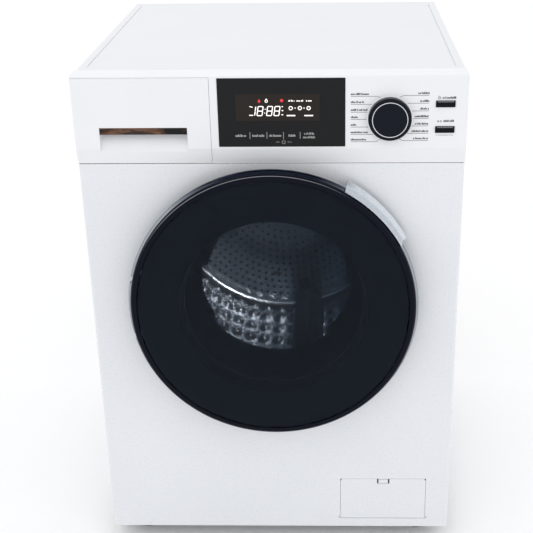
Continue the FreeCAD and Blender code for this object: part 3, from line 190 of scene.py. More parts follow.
WHITE = (0.765, 0.785, 0.82)
M = {
    "enamel": moulded("enamel", WHITE, 0.28, grain=260.0, depth=0.015, drift=0.012, coat=0.3),
    "worktop": moulded("worktop", (0.755, 0.765, 0.80), 0.34, grain=1400.0, depth=0.06, drift=0.012),
    "fascia": moulded("fascia", (0.82, 0.835, 0.865), 0.36, grain=1600.0, depth=0.05, drift=0.012),
    "grey_plastic": moulded("grey_plastic", (0.5, 0.52, 0.54), 0.5, grain=700.0, depth=0.12),
    "pale_plastic": moulded("pale_plastic", (0.66, 0.67, 0.68), 0.45, grain=900.0, depth=0.08),
    "galvanised": moulded("galvanised", (0.48, 0.5, 0.52), 0.42, grain=90.0, depth=0.15, drift=0.12, metal=0.75),
    "black_plastic": moulded("black_plastic", (0.03, 0.03, 0.033), 0.45, grain=900.0, depth=0.15),
    "board": moulded("board", (0.03, 0.16, 0.08), 0.35, grain=300.0, drift=0.2),
    "lens": moulded("lens", (0.012, 0.0125, 0.0135), 0.22, grain=1200.0, depth=0.01, gloss=0.12),
    "window": moulded("window", (0.022, 0.018, 0.016), 0.3, grain=1200.0, depth=0.01, gloss=0.12),
    "key": moulded("key", (0.004, 0.0045, 0.006), 0.2, grain=900.0, depth=0.02, gloss=0.1),
    # light grey for painted highlights on the keys' top edges and on the door rim's lip
    "painted_edge_highlight": moulded("painted_edge_highlight", (0.22, 0.23, 0.255), 0.3, grain=900.0, depth=0.02),
    "knob": moulded("knob", (0.0030, 0.0055, 0.0115), 0.17, grain=900.0, depth=0.02, gloss=0.12),
    "chrome": moulded("chrome", (0.72, 0.74, 0.77), 0.12, grain=300.0, depth=0.01, metal=1.0),
    "satin_chrome": moulded("satin_chrome", (0.68, 0.72, 0.76), 0.27, grain=500.0, depth=0.03, metal=1.0),
    "rim": moulded("rim", (0.0035, 0.005, 0.011), 0.16, grain=700.0, depth=0.01, gloss=0.08),
    "print": moulded("print", (0.004, 0.007, 0.012), 0.4, grain=700.0, depth=0.001, gloss=0.1),
    "steel": moulded("steel", (0.55, 0.56, 0.58), 0.3, grain=60.0, depth=0.1, metal=1.0, stretch=(1, 12, 1)),
    "zinc": moulded("zinc", (0.55, 0.56, 0.58), 0.38, grain=200.0, depth=0.12, drift=0.08, metal=0.9),
    "alloy": moulded("alloy", (0.55, 0.56, 0.58), 0.5, grain=350.0, depth=0.3, drift=0.06, metal=0.8),
    "iron": moulded("iron", (0.16, 0.16, 0.165), 0.75, grain=240.0, depth=0.6, drift=0.15, metal=0.3),
    "grey_rubber": moulded("grey_rubber", (0.26, 0.27, 0.28), 0.6, grain=500.0, depth=0.2, drift=0.06),
    "black_rubber": moulded("black_rubber", (0.022, 0.022, 0.022), 0.65, grain=500.0, depth=0.25, drift=0.1),
    "lifter": moulded("lifter", (0.035, 0.037, 0.042), 0.45, grain=700.0, depth=0.1, gloss=0.2),
    "ink": moulded("ink", (0.028, 0.030, 0.036), 0.5, grain=900.0),
    "ink_soft": moulded("ink_soft", (0.13, 0.14, 0.16), 0.5, grain=900.0),
    "touch_ink": moulded("touch_ink", (0.36, 0.36, 0.355), 0.5, grain=900.0),
    # near-black for the painted shade seen through the drum's holes
    "hole": moulded("hole", (0.006, 0.006, 0.007), 0.6, grain=500.0),
    "smoked": glass("smoked", (0.86, 0.93, 1.0), 0.66, 0.02, sheen=(0.18, 0.22, 0.28)),
    "clear": glass("clear", (0.96, 0.98, 1.0), 0.97, 0.02, sheen=(0.14, 0.15, 0.17)),
    "white_light": lit("white_light", (0.95, 0.93, 0.88), 0.55),
    "red_light": lit("red_light", (0.72, 0.03, 0.035), 0.3),
    "icon_grey": moulded("icon_grey", (0.16, 0.15, 0.15), 0.5, grain=900.0),
}


def paint(item, key):
    """Gives an object one material in all its slots."""
    item.data.materials.clear()
    item.data.materials.append(M[key])
    return item


def smooth(item, degrees=35.0):
    """Smooth shading, kept sharp at edges steeper than this."""
    item.data.shade_smooth()
    for edge_attribute in ("sharp_edge",):
        if edge_attribute in item.data.attributes:
            item.data.attributes.remove(item.data.attributes[edge_attribute])
    item.data.set_sharp_from_angle(angle=math.radians(degrees))
    return item


# ---------------------------------------------------------------- pieces
def piece(name, verts, faces, key, body, slot, angle=35.0):
    """A new mesh piece in the row frame that rides on a body."""
    mesh = bpy.data.meshes.new(name)
    mesh.from_pydata([tuple(v) for v in verts], [], faces)
    mesh.validate()
    mesh.update()
    item = bpy.data.objects.new(name, mesh)
    bpy.context.scene.collection.objects.link(item)
    paint(item, key)
    smooth(item, angle)
    if body is not None:
        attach(item, body)
    return item


class Sheet:
    """Collects vertices and faces for one piece."""

    def __init__(self):
        self.verts, self.faces = [], []

    def add(self, verts, faces):
        base = len(self.verts)
        self.verts += verts
        self.faces += [tuple(base + i for i in f) for f in faces]

    def prism(self, outline, depth, back):
        """An (x, z) outline in millimetres, extruded from one depth to another."""
        count = len(outline)
        front_ring = [at(x, depth, z) for x, z in outline]
        back_ring = [at(x, back, z) for x, z in outline]
        sides = [(i, (i + 1) % count, count + (i + 1) % count, count + i) for i in range(count)]
        caps = [tuple(reversed(range(count))), tuple(range(count, 2 * count))]
        self.add(front_ring + back_ring, sides + caps)

    def ring(self, inner, outer, x, z, depth, back, start=0.0, sweep=360.0, steps=32):
        """A flat ring, or part of one, round a point of the front."""
        closed = sweep >= 360.0
        count = steps if closed else steps + 1
        verts = []
        for i in range(count):
            a = math.radians(start + sweep * i / steps)
            for r, d in ((inner, depth), (outer, depth), (outer, back), (inner, back)):
                verts.append(at(x + r * math.cos(a), d, z + r * math.sin(a)))
        faces = []
        for i in range(steps):
            j = (i + 1) % count
            for k in range(4):
                m = (k + 1) % 4
                faces.append((4 * i + k, 4 * j + k, 4 * j + m, 4 * i + m))
        if not closed:
            faces += [(0, 1, 2, 3), tuple(4 * steps + k for k in (3, 2, 1, 0))]
        self.add(verts, faces)

    def make(self, name, key, body, slot, angle=35.0):
        return piece(name, self.verts, self.faces, key, body, slot, angle)


def bar(x, z, width, height):
    """A four-cornered outline round a middle point."""
    w, h = width / 2, height / 2
    return [(x - w, z - h), (x + w, z - h), (x + w, z + h), (x - w, z + h)]


def disc(x, z, radius, steps=20):
    return [(x + radius * math.cos(2 * math.pi * i / steps), z + radius * math.sin(2 * math.pi * i / steps))
            for i in range(steps)]


def revolve(profile, steps, x=None, z=None, closed=True):
    """Turns a closed (radius, depth) outline in millimetres about a front-to-back line."""
    cx = CENTRE_X / MM if x is None else x
    cz = CENTRE_Z / MM if z is None else z
    verts, faces = [], []
    count = len(profile)
    for i in range(steps):
        a = 2 * math.pi * i / steps
        verts += [at(cx + r * math.cos(a), d, cz + r * math.sin(a)) for r, d in profile]
    last = count if closed else count - 1
    for i in range(steps):
        j = (i + 1) % steps
        for k in range(last):
            m = (k + 1) % count
            faces.append((i * count + k, i * count + m, j * count + m, j * count + k))
    return verts, faces


def rounded(points, reach, steps=4):
    """Softens every corner of a closed outline with a short arc."""
    out = []
    count = len(points)
    for i, here in enumerate(points):
        before, after = points[i - 1], points[(i + 1) % count]
        p = Vector((*here, 0))
        a, b = Vector((*before, 0)) - p, Vector((*after, 0)) - p
        r = min(reach, a.length * 0.45, b.length * 0.45)
        start, end = p + a.normalized() * r, p + b.normalized() * r
        for k in range(steps + 1):
            t = k / steps
            q = start * (1 - t) ** 2 + p * 2 * t * (1 - t) + end * t ** 2
            out.append((q.x, q.y))
    return out


# ---------------------------------------------------------------- CAD nodes that stay
FINISH = {
    "cabinet_shell": "enamel",
    "front_panel": "enamel",
    "filter_flap": "enamel",
    "top_cover": "worktop",
    "control_fascia": "fascia",
    "drawer_front": "fascia",
    "display_lens": "lens",
    "control_board": "board",
    "rear_panel": "galvanised",
    "base_pan": "grey_plastic",
    "dispenser_housing": "grey_plastic",
    "drain_pump": "grey_plastic",
    "damper_cylinders": "grey_plastic",
    "tub_front": "grey_plastic",
    "tub_rear": "grey_plastic",
    "drawer_tray": "pale_plastic",
    "door_inner_frame": "black_plastic",
    "pump_filter": "pale_plastic",
    "transit_hole_caps": "pale_plastic",
    "inlet_valve": "pale_plastic",
    "programme_knob": "knob",
    "knob_ring": "chrome",
    "power_button": "key",
    "start_button": "key",
    "drawer_handle_trim": "strip",
    "door_outer_ring": "rim",
    "door_trim_ring": "band",
    "door_handle": "satin_chrome",
    "door_cover_glass": "smoked",
    "door_bowl": "clear",
    "door_hinge_arm": "zinc",
    "door_hinge_bracket": "zinc",
    "latch_hook": "zinc",
    "cabinet_screws": "zinc",
    "damper_rods": "zinc",
    "motor_pulley": "zinc",
    "drum_shaft": "zinc",
    "door_lock": "black_plastic",
    "mains_gland": "black_plastic",
    "foot_front_left": "black_plastic",
    "foot_front_right": "black_plastic",
    "foot_rear_left": "black_plastic",
    "foot_rear_right": "black_plastic",
    "drain_pipe": "black_rubber",
    "drive_belt": "black_rubber",
    "counterweight_upper": "iron",
    "counterweight_lower": "iron",
    "drive_motor": "alloy",
    "drum_spider": "alloy",
    "drum_pulley": "alloy",
    "dryer_fan": "alloy",
    "dryer_duct": "zinc",
    "drum_bearings": "steel",
    "tub_heater": "steel",
    "drum_lifters": "lifter",
}


def painted_reflection_strip():
    """Black chrome with a painted reflection: brown bands in its dark colour stand for a warm room mirrored in it.
    """
    n = Nodes("strip")
    painted_reflection_streaks = n.noise(16.0, 4.0, 0.55, stretch=(1.0, 1.0, 5.0))
    # painted reflection: brown bands in a near-black base colour
    stops = [
        (0.42, (0.006, 0.005, 0.006)),
        (0.50, (0.10, 0.045, 0.025)),
        (0.56, (0.17, 0.085, 0.05)),
        (0.60, (0.05, 0.028, 0.02)),
        (0.70, (0.02, 0.015, 0.015)),
    ]
    n.link(n.ramp(painted_reflection_streaks, stops), n.shader.inputs["Base Color"])
    n.link(n.spread(painted_reflection_streaks, 0.14, 0.24), n.shader.inputs["Roughness"])
    n.set(Metallic=0.2, Coat_Weight=0.1, Coat_Roughness=0.05, Specular_IOR_Level=0.2)
    return n.material


def painted_reflection_band():
    """Chrome with a painted reflection: dark navy near the top of the door, standing for a dark ceiling mirrored
    there, and lighter lower down.
    """
    n = Nodes("band")
    parts = n.new("ShaderNodeSeparateXYZ")
    n.link(n.place, parts.inputs["Vector"])
    height = n.new("ShaderNodeMapRange")
    height.inputs["From Min"].default_value = CENTRE_Z + 0.165
    height.inputs["From Max"].default_value = CENTRE_Z + 0.218
    n.link(parts.outputs["Z"], height.inputs["Value"])
    # painted reflection: the colour darkens with height towards the top of the door
    stops = [(0.0, (0.33, 0.36, 0.39)), (0.6, (0.10, 0.115, 0.14)), (1.0, (0.012, 0.016, 0.03))]
    n.link(n.ramp(height.outputs["Result"], stops), n.shader.inputs["Base Color"])
    n.link(n.spread(n.noise(300.0), 0.16, 0.22), n.shader.inputs["Roughness"])
    n.set(Metallic=1.0)
    return n.material


M["strip"] = painted_reflection_strip()
M["band"] = painted_reflection_band()
for node_name, key in FINISH.items():
    smooth(paint(NODES[node_name], key))


# ---------------------------------------------------------------- door
def door_print():
    """The dark printed border behind the cover glass, and the matt black cup behind it."""
    profile = [(150.5, -42.6), (216.2, -42.6), (216.2, -42.2), (150.5, -42.2)]
    piece("door_printed_border", *revolve(profile, 160), "print", "door", "door_dark")
    cup = [(151.0, -42.0), (152.2, -42.0), (153.6, -10.0), (152.4, -10.0)]
    piece("door_window_wall", *revolve(cup, 160), "print", "door", "door_dark")


def door_highlights():
    """A thin bead in the rim's dark finish where the cover glass meets the rim, and a painted highlight: a thin
    light line on the rim's front lip over the top of the door.
    """
    bead = [(r, d) for r, d in disc(217.0, -45.6, 0.35, 8)]
    verts, faces = revolve(bead, 220)
    piece("door_glass_bead", verts, faces, "rim", "door", "door_dark")
    # painted highlight: a light grey line on the lip from 57 to 153 degrees, thinning to nothing at both ends
    steps, first, last = 96, 57.0, 153.0
    verts, faces = [], []
    for i in range(steps + 1):
        angle = math.radians(first + (last - first) * i / steps)
        thick = 0.5 * min(1.0, 5.0 * i / steps, 5.0 * (steps - i) / steps) + 0.02
        for r, d in disc(225.3, -45.1, thick, 8):
            verts.append(at(CENTRE_X / MM + r * math.cos(angle), d, CENTRE_Z / MM + r * math.sin(angle)))
    for i in range(steps):
        for k in range(8):
            a, b = 8 * i + k, 8 * i + (k + 1) % 8
            faces.append((a, b, b + 8, a + 8))
    faces += [tuple(range(8))[::-1], tuple(8 * steps + k for k in range(8))]
    piece("door_lip_painted_highlight", verts, faces, "painted_edge_highlight", "door", "door_dark")


# ---------------------------------------------------------------- drum
DRUM_R = 243.0


def cell_sheet(sheet, columns, rows, place, detail, hole):
    """A sheet of square cells, each with a round hole at its middle.

    place(u, v) gives the point at u columns and v rows. hole is the radius in cells.
    """
    half = detail // 2
    index = {}

    def vert(i, j):
        key = (i % (columns * detail), j)
        if key not in index:
            index[key] = len(verts)
            verts.append(place(key[0] / detail, j / detail))
        return index[key]

    verts, faces = [], []
    for c in range(columns):
        for r in range(rows):
            for a in range(detail):
                for b in range(detail):
                    if a in (half - 1, half) and b in (half - 1, half):
                        continue
                    i, j = c * detail + a, r * detail + b
                    faces.append((vert(i, j), vert(i + 1, j), vert(i + 1, j + 1), vert(i, j + 1)))
            around = [(-1, -1), (0, -1), (1, -1), (1, 0), (1, 1), (0, 1), (-1, 1), (-1, 0)]
            outer = [vert(c * detail + half + a, r * detail + half + b) for a, b in around]
            inner = []
            for a, b in around:
                length = math.hypot(a, b)
                inner.append(len(verts))
                verts.append(place(c + 0.5 + hole * a / length, r + 0.5 + hole * b / length))
            for k in range(8):
                m = (k + 1) % 8
                faces.append((outer[k], outer[m], inner[m], inner[k]))
    sheet.add(verts, faces)


def drum_wall():
    """The drum's side: cushion-shaped bosses all round, with a hole between every four."""
    columns, rows = 54, 7
    low, high = 124.0, 460.0
    wall = Sheet()

    def place(u, v):
        angle = 2 * math.pi * u / columns
        # bosses are centred on the corners of the cells
        du, dv = u - round(u), v - round(v)
        reach = math.hypot(du, dv) / 0.47
        boss = 0.5 + 0.5 * math.cos(math.pi * min(1.0, reach))
        radius = DRUM_R - 4.2 * boss - 0.8
        x, z = radius * math.cos(angle), radius * math.sin(angle)
        return at(CENTRE_X / MM + x, low + (high - low) * v / rows, CENTRE_Z / MM + z)

    cell_sheet(wall, columns, rows, place, 8, 0.07)
    return wall


def drum_back():
    """The drum's dished back: rings of small holes round a plain raised middle."""
    back = Sheet()
    cx, cz = CENTRE_X / MM, CENTRE_Z / MM
    first, pitch, rings = 62.0, 14.0, 11

    def depth_of(r):
        swell = 6.0 * math.exp(-((r - 120.0) / 46.0) ** 2)
        return 466.5 - swell

    for k in range(rings):
        inner = first + k * pitch
        count = round(2 * math.pi * (inner + pitch / 2) / pitch)
        shift = 0.5 * (k % 2)

        def place(u, v, inner=inner, count=count, shift=shift):
            a = 2 * math.pi * (u + shift) / count
            r = inner + pitch * v
            return at(cx + r * math.cos(a), depth_of(r), cz + r * math.sin(a))

        cell_sheet(back, count, 1, place, 4, 0.19)
    outline = [(0.5, depth_of(0)), (20, depth_of(20)), (40, depth_of(40)), (first, depth_of(first))]
    back.add(*revolve(outline, 90, closed=False))
    edge = first + rings * pitch
    rim = [(edge, depth_of(edge)), (221, 466.8), (224, 468), (228, 467.6), (236, 463), (242.4, 452)]
    back.add(*revolve(rim, 120, closed=False))
    return back


def drum_front():
    """The rolled front of the drum round its mouth."""
    front = [
        (158.4, 107), (158.2, 103), (159.4, 99.4), (163, 98.6), (170, 98.9), (200, 100.4), (223, 102),
        (232, 104.6), (240, 111), (244.4, 120), (244.6, 130), (243.2, 130), (242.8, 121), (238, 112.5),
        (231, 106.6), (222, 104), (200, 102.4), (170, 100.9), (165, 100.7), (162.6, 101.6), (160.2, 107),
    ]
    return revolve(front, 160)


def build_drum():
    drum_wall().make("drum_wall", "drum_steel", "drum", "steel", 60.0)
    drum_back().make("drum_back", "drum_steel", "drum", "steel", 60.0)
    piece("drum_front", *drum_front(), "drum_steel", "drum", "steel", 50.0)
    outer = [(244.9, 122), (244.9, 460), (238, 469.4), (112, 470.0), (97, 472.8), (2, 472.9),
             (2, 471.9), (97, 471.8), (112, 469.2), (237, 468.9), (244.0, 459.6), (244.0, 122)]
    shell = piece("drum_jacket", *revolve(outer, 120), "drum_steel", "drum", "steel", 50.0)
    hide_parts("drum_shell")
    # painted shade: a near-black sheet just behind the drum's wall and back, so the holes show dark
    dark = [(243.2, 124), (243.8, 124), (243.8, 458.5), (236.8, 468.6), (112, 468.9), (2, 469.2),
            (2, 468.8), (112, 468.5), (236.4, 468.2), (243.2, 458)]
    piece("drum_painted_shade", *revolve(dark, 120), "hole", "drum", "steel", 50.0)


M["drum_steel"] = moulded("drum_steel", (0.62, 0.63, 0.66), 0.24, grain=70.0, depth=0.04, drift=0.05,
                          metal=1.0, stretch=(1, 10, 1))


# ---------------------------------------------------------------- rubber, springs and hose
def gasket():
    """The bellows in the port, as one rubber piece that rides on no body."""
    profile = [
        (164.6, -0.4), (164.6, 28.6), (183, 35.6), (183, 48.4), (166, 55), (166, 60.2), (174.0, 62),
        (174.0, 81.4), (170.6, 81.4), (170.6, 65.6), (162.4, 63.6), (162.4, 52.4), (179.2, 46.2),
        (179.2, 38), (161.2, 31), (161.2, 14.5), (151.2, 15.8), (151.0, 13.6), (161.2, 8.2), (161.2, -0.4),
        (158.2, -0.5), (158.2, -2.5), (169.8, -2.5), (169.8, -0.4),
    ]
    rubber = piece("door_seal", *revolve(rounded(profile, 2.2), 160), "grey_rubber", None, "grey_rubber", 70.0)
    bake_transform(rubber)
    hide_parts("door_gasket")


def spring_coils(x, depth, low, high, name):
    """One coil spring with hooked ends, as a tube round a helix."""
    turns, per_turn, sides, wire, radius = 17, 20, 8, 2.0, 11.0
    path = [Vector((x, depth, high + 6)), Vector((x, depth, high + 1))]
    for i in range(turns * per_turn + 1):
        a = 2 * math.pi * i / per_turn
        t = i / (turns * per_turn)
        z = high - 5 - (high - low - 10) * t
        path.append(Vector((x + radius * math.sin(a), depth + radius * math.cos(a) - 0.0, z)))
    path += [Vector((x, depth, low - 1)), Vector((x, depth, low - 6))]
    verts, faces = [], []
    for i, p in enumerate(path):
        ahead = path[min(i + 1, len(path) - 1)] - path[max(i - 1, 0)]
        side = ahead.cross(Vector((0, 0, 1)))
        side = (side if side.length > 1e-6 else Vector((1, 0, 0))).normalized()
        up = side.cross(ahead).normalized()
        for k in range(sides):
            a = 2 * math.pi * k / sides
            q = p + (side * math.cos(a) + up * math.sin(a)) * wire
            verts.append(at(q.x, q.y, q.z))
        if i:
            for k in range(sides):
                m = (k + 1) % sides
                base, prior = i * sides, (i - 1) * sides
                faces.append((prior + k, prior + m, base + m, base + k))
    faces.append(tuple(range(sides)))
    faces.append(tuple(reversed(range(len(verts) - sides, len(verts)))))
    item = piece(name, verts, faces, "zinc", None, "zinc", 60.0)
    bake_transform(item)
    return item


def build_springs():
    low, high = 617.0, 810.0
    for side in (-1, 1):
        for depth in (185.0, 400.0):
            name = f"spring_{'left' if side < 0 else 'right'}_{'front' if depth < 300 else 'rear'}"
            spring_coils(278.0 * side, depth, low, high, name)
    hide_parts("suspension_springs")


def hose():
    """The ribbed sump hose, which stretches between the pump and the tub."""
    profile = [(16.4, 125.5), (18.2, 125.5), (18.2, 137)]
    for i in range(8):
        profile += [(18.4, 137 + 8 * i), (21.8, 141 + 8 * i)]
    profile += [(18.4, 201), (18.2, 214.5), (16.4, 214.5)]
    steps, verts, faces = 40, [], []
    centre = (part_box("sump_hose")[0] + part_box("sump_hose")[1]) / 2
    outline = rounded(profile, 1.6, 3)
    count = len(outline)
    for i in range(steps):
        a = 2 * math.pi * i / steps
        for r, z in outline:
            verts.append(Vector((centre.x + r * MM * math.cos(a), centre.y + r * MM * math.sin(a), z * MM)))
    for i in range(steps):
        j = (i + 1) % steps
        for k in range(count):
            m = (k + 1) % count
            faces.append((i * count + k, j * count + k, j * count + m, i * count + m))
    item = piece("sump_bellows", verts, faces, "black_rubber", None, "black_rubber", 70.0)
    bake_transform(item)
    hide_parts("sump_hose")


# ---------------------------------------------------------------- control panel
LENS_Y = -6.6
FACE = -6.0
SEGMENTS = {"a": (0, 1), "b": (1, 0.5), "c": (1, -0.5), "d": (0, -1), "e": (-1, -0.5), "f": (-1, 0.5), "g": (0, 0)}
DIGITS = {"1": "bc", "8": "abcdefg"}


def digit(sheet, character, x, z, width, height):
    """A seven-segment digit made of slim bars with pointed ends, leaning a little to the right."""
    thick, lean = 1.5, 0.15
    w, h = width / 2 - thick / 2, height / 2 - thick / 2
    for segment in DIGITS[character]:
        side, level = SEGMENTS[segment]
        if segment in "adg":
            cx, cz, length = x, z + level * h, 2 * w - thick * 0.9
            points = [(-length / 2, -thick / 2), (length / 2, -thick / 2), (length / 2 + thick / 2, 0),
                      (length / 2, thick / 2), (-length / 2, thick / 2), (-length / 2 - thick / 2, 0)]
        else:
            cx, cz, length = x + side * w, z + level * h, h - thick * 0.9
            points = [(-thick / 2, -length / 2), (0, -length / 2 - thick / 2), (thick / 2, -length / 2),
                      (thick / 2, length / 2), (0, length / 2 + thick / 2), (-thick / 2, length / 2)]
        outline = [(cx + a + lean * (cz + b - z), cz + b) for a, b in points]
        sheet.prism(outline, LENS_Y - 0.12, LENS_Y + 0.1)


def words(sheet, x, z, width, height, front, align="left"):
    """A greeked label: a row of small blocks of uneven width, which spells nothing."""
    left = {"left": x, "middle": x - width / 2, "right": x - width}[align]
    end = left + width
    cursor = left
    while cursor < end - 0.7:
        block = min(random.uniform(1.0, 1.9), end - cursor)
        tall = height * random.choice((0.7, 0.7, 1.0))
        low = z - height / 2
        outline = [(cursor, low), (cursor + block, low), (cursor + block, low + tall), (cursor, low + tall)]
        sheet.prism(outline, front - 0.1, front + 0.1)
        cursor += block + (1.3 if random.random() < 0.14 else 0.42)


def display():
    """The window's lit marks: a time, indicator icons and bars."""
    front, back = LENS_Y - 0.12, LENS_Y + 0.1
    window = Sheet()
    window.prism(bar(12.5, 801.5, 126, 41), LENS_Y - 0.05, back)
    window.make("display_window", "window", "cabinet", "display_black")
    white = Sheet()
    for character, x in (("1", -24.9), ("8", -13.8), ("8", 0.45), ("8", 11.55)):
        digit(white, character, x, 796.2, 9.1, 15.6)
    for x, z in ((-7.0, 793.2), (-6.0, 799.0)):
        white.prism(disc(x, z, 0.85, 10), front, back)
    white.prism([(-29.6, 804.1), (-29.6, 802.8), (-24.8, 801.3), (-24.8, 802.6)], front, back)
    for x, z, width, height in (
        (-27.3, 789.7, 5.8, 1.5), (19.6, 802.9, 2.0, 1.5), (19.8, 796.8, 2.6, 1.5), (19.5, 790.4, 2.6, 1.5),
        (32.6, 789.1, 13.0, 1.9), (59.2, 789.0, 13.2, 1.9),
    ):
        white.prism(bar(x, z, width, height), front, back)
    # the drop outline
    white.ring(1.3, 2.4, -4.2, 811.4, front, back)
    white.prism([(-5.6, 813.3), (-2.8, 813.3), (-4.1, 815.8)], front, back)
    for x, width in ((33.4, 9.2), (46.0, 9.8), (59.7, 8.8)):
        words(white, x, 811.9, width, 2.7, LENS_Y, "middle")
    # the three round stage icons, with a small arrow after each of the first two
    for x in (32.3, 46.0, 59.1):
        white.ring(2.0, 3.2, x, 800.5, front, back)
    for x in (39.1, 52.6):
        white.prism([(x - 0.9, 799.2), (x + 1.0, 800.6), (x - 0.9, 802.0)], front, back)
    white.make("display_marks", "white_light", "cabinet", "display_black")
    dim = Sheet()
    dim.ring(0.01, 1.9, 32.3, 800.5, front, back, -40, 150, 12)
    dim.prism(disc(46.0, 800.5, 1.9, 14), front, back)
    dim.prism(disc(59.1, 800.5, 1.9, 14), front, back)
    dim.make("display_icon_centres", "icon_grey", "cabinet", "display_black")
    red = Sheet()
    drop = [(-15.0 + 2.0 * math.cos(a), 810.9 + 2.0 * math.sin(a)) for a in
            [math.radians(150 + 240 * i / 14) for i in range(15)]] + [(-15.0, 815.0)]
    red.prism(drop, front, back)
    red.prism(disc(18.8, 812.2, 2.5), front, back)
    red.make("display_red_icons", "red_light", "cabinet", "display_black")


def touch_keys():
    """The five touch fields under the window: greeked labels between thin dividers."""
    marks = Sheet()
    for x, width in ((-44.0, 16.5), (-17.2, 18.8), (8.1, 18.0), (33.5, 10.5)):
        words(marks, x, 758.1, width, 3.8, LENS_Y, "middle")
    words(marks, 59.5, 761.0, 15.0, 3.4, LENS_Y, "middle")
    words(marks, 59.2, 755.3, 18.2, 3.4, LENS_Y, "middle")
    for x in (-30.2, -4.5, 20.6, 45.9):
        marks.prism(bar(x, 758.2, 0.8, 10.4), LENS_Y - 0.1, LENS_Y + 0.1)
    marks.make("touch_labels", "touch_ink", "cabinet", "display_black")
    small = Sheet()
    words(small, 12.1, 747.9, 5.8, 2.0, LENS_Y, "middle")
    words(small, 30.0, 747.9, 6.4, 2.0, LENS_Y, "middle")
    small.ring(1.6, 3.2, 20.8, 747.6, LENS_Y - 0.1, LENS_Y + 0.1)
    small.prism(bar(20.8, 751.0, 0.8, 2.6), LENS_Y - 0.1, LENS_Y + 0.1)
    small.make("touch_lock_mark", "icon_grey", "cabinet", "display_black")


KNOB_X, KNOB_Z = 181.0, 784.0


def programme_scale():
    """The seven programme marks each side of the knob, each a greeked label over its leader line."""
    names, lines = Sheet(), Sheet()
    rim = 35.0
    sides = (
        (-1, 122.4, "left", (27.0, 19.5, 25.5, 10.5, 8.5, 26.0, 23.5),
         (817.9, 805.7, 793.6, 782.5, 770.6, 759.0, 747.6)),
        (1, 239.2, "right", (16.5, 13.5, 13.0, 21.0, 20.5, 25.0, 22.5),
         (818.9, 807.0, 795.2, 783.4, 772.0, 760.4, 749.1)),
    )
    for side, edge, align, widths, levels in sides:
        for k, (width, z) in enumerate(zip(widths, levels)):
            words(names, edge, z + 3.6, width, 3.2, FACE, align)
            drop = z - KNOB_Z
            if k in (0, 6):
                kink, tip = KNOB_X + side * 20.0, KNOB_X + side * 14.0
                toward = KNOB_Z + math.copysign(math.sqrt(rim ** 2 - 14.0 ** 2), drop)
                lines.prism(bar((edge + kink) / 2, z, abs(kink - edge), 0.7), FACE - 0.1, FACE + 0.1)
                slant = [(kink, z - 0.35), (kink, z + 0.35), (tip, toward + 0.3), (tip, toward - 0.3)]
                lines.prism(slant[::side], FACE - 0.1, FACE + 0.1)
            else:
                stop = KNOB_X + side * math.sqrt(max(0.0, rim ** 2 - drop ** 2))
                lines.prism(bar((edge + stop) / 2, z, abs(stop - edge), 0.7), FACE - 0.1, FACE + 0.1)
    names.make("programme_labels", "ink", "cabinet", "fascia_white")
    lines.make("programme_lines", "ink_soft", "cabinet", "fascia_white")


def key_marks():
    """Small symbols and greeked captions over the two keys, and a painted highlight along the top edge of each
    key.
    """
    marks = Sheet()
    marks.ring(1.4, 2.1, 254.4, 815.4, FACE - 0.1, FACE + 0.1, 120, 300, 16)
    marks.prism(bar(254.4, 817.1, 0.6, 2.4), FACE - 0.1, FACE + 0.1)
    words(marks, 259.0, 815.4, 20.5, 3.4, FACE)
    marks.prism([(252.6, 777.4), (252.6, 780.8), (255.6, 779.1)], FACE - 0.1, FACE + 0.1)
    for x in (256.8, 258.2):
        marks.prism(bar(x, 779.1, 0.7, 3.2), FACE - 0.1, FACE + 0.1)
    words(marks, 261.5, 779.6, 16.5, 3.4, FACE)
    marks.make("key_captions", "ink", "cabinet", "fascia_white")
    # painted highlight: a dashed light line and a thin light bar along each key's top edge
    for name, level in (("power", 805.8), ("start", 766.3)):
        edge_highlight_bars = Sheet()
        for k in range(9):
            edge_highlight_bars.prism(bar(253.6 + 2.6 * k, level + 3.5, 1.9, 1.1), -7.95, -7.7)
        edge_highlight_bars.prism(bar(264.0, level + 4.4, 25.6, 0.4), -7.95, -7.7)
        edge_highlight_bars.make(f"{name}_painted_edge_highlight", "painted_edge_highlight", f"{name}_key", "key_dark")
    soft = Sheet()
    words(soft, 251.0, 757.6, 26.0, 1.0, FACE)
    soft.make("key_small_print", "ink_soft", "cabinet", "fascia_white")


def knob_bezel():
    """The silver seat round the knob."""
    seat = [(33.0, -6.1), (34.6, -6.1), (34.4, -6.8), (33.6, -7.2), (33.0, -7.2)]
    piece("knob_seat", *revolve(seat, 96, KNOB_X, KNOB_Z), "chrome", "cabinet", "chrome")


# ---------------------------------------------------------------- build
door_print()
door_highlights()
build_drum()
gasket()
build_springs()
hose()
display()
touch_keys()
programme_scale()
key_marks()
knob_bezel()


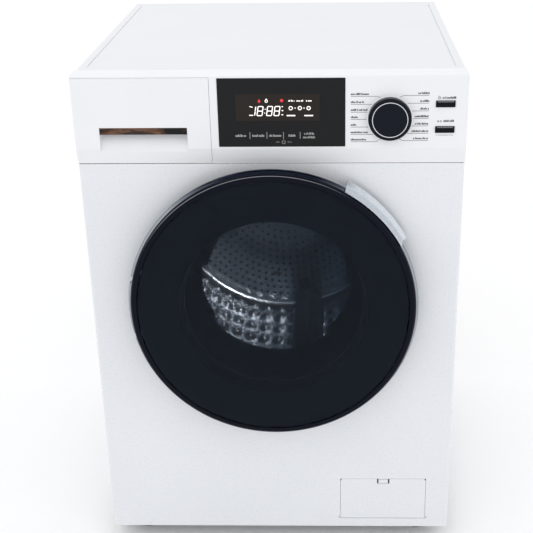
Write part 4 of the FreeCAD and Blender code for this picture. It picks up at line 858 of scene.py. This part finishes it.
# ---------------------------------------------------------------- stage
def floor():
    mesh = bpy.data.meshes.new("floor")
    half = 12.0
    corners = [(-half, -half, -0.0005), (half, -half, -0.0005), (half, half, -0.0005), (-half, half, -0.0005)]
    mesh.from_pydata(corners, [], [(0, 1, 2, 3)])
    item = bpy.data.objects.new("floor", mesh)
    bpy.context.scene.collection.objects.link(item)
    item.data.materials.append(moulded("floor", (0.97, 0.97, 0.975), 0.7, grain=40.0, depth=0.01, drift=0.004))
    item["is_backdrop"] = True


def area_light(name, where, look, size, power, colour=(1, 1, 1)):
    data = bpy.data.lights.new(name, "AREA")
    data.shape = "RECTANGLE"
    data.size, data.size_y = size
    data.energy = power
    data.color = colour
    item = bpy.data.objects.new(name, data)
    bpy.context.scene.collection.objects.link(item)
    item.location = where
    item.rotation_mode = "QUATERNION"
    item.rotation_quaternion = (Vector(look) - Vector(where)).to_track_quat("-Z", "Y")
    return item


def studio():
    scene = bpy.context.scene
    world = bpy.data.worlds.new("studio")
    scene.world = world
    world.use_nodes = True
    background = world.node_tree.nodes["Background"]
    background.inputs["Color"].default_value = (1.0, 1.0, 1.0, 1.0)
    background.inputs["Strength"].default_value = 1.04
    area_light("overhead_strip", (-0.7, -0.5, 2.6), (0, -0.3, 0.7), (2.6, 0.10), 2.5, (0.95, 0.97, 1.0))
    area_light("fill_light", (2.6, -2.0, 1.6), (0, 0, 0.45), (1.6, 2.0), 4, (0.97, 0.98, 1.0))
    lamp = area_light("drum_lamp", at(112, 62, 545), at(-175, 455, 300), (0.04, 0.04), 0.36, (1.0, 0.88, 0.76))
    lamp.data.spread = math.radians(60)
    lamp.visible_camera = False
    scene.view_settings.view_transform = "Standard"


def camera():
    """The fitted view: slightly right of the middle, from above, looking down at the front."""
    pitch, roll, turn = (math.radians(a) for a in (23.7355, 1.3729, -0.6330))
    axes = (Matrix.Rotation(turn, 3, "Z") @ Matrix.Rotation(pitch, 3, "X") @ Matrix.Rotation(roll, 3, "Y")
            @ Matrix(((1, 0, 0), (0, 0, -1), (0, 1, 0))))
    right, down, ahead = axes
    data = bpy.data.cameras.new("camera")
    data.sensor_width = 36.0
    focal, centre_x, centre_z, size = 1075.96, 310.15, 266.46, 533.0
    data.lens = focal / size * data.sensor_width
    data.shift_x = -(centre_x - size / 2) / size
    data.shift_y = (centre_z - size / 2) / size
    item = bpy.data.objects.new("camera", data)
    bpy.context.scene.collection.objects.link(item)
    turned = Matrix((right, -down, -ahead)).transposed()
    item.matrix_world = Matrix.Translation(at(96.46, -1577.24, 1232.1)) @ turned.to_4x4()
    bpy.context.scene.camera = item


floor()
studio()
camera()
boxes = {"cad": CAD_BOX, "visual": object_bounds()}
{k: [list(corner) for corner in v] for k, v in boxes.items()}
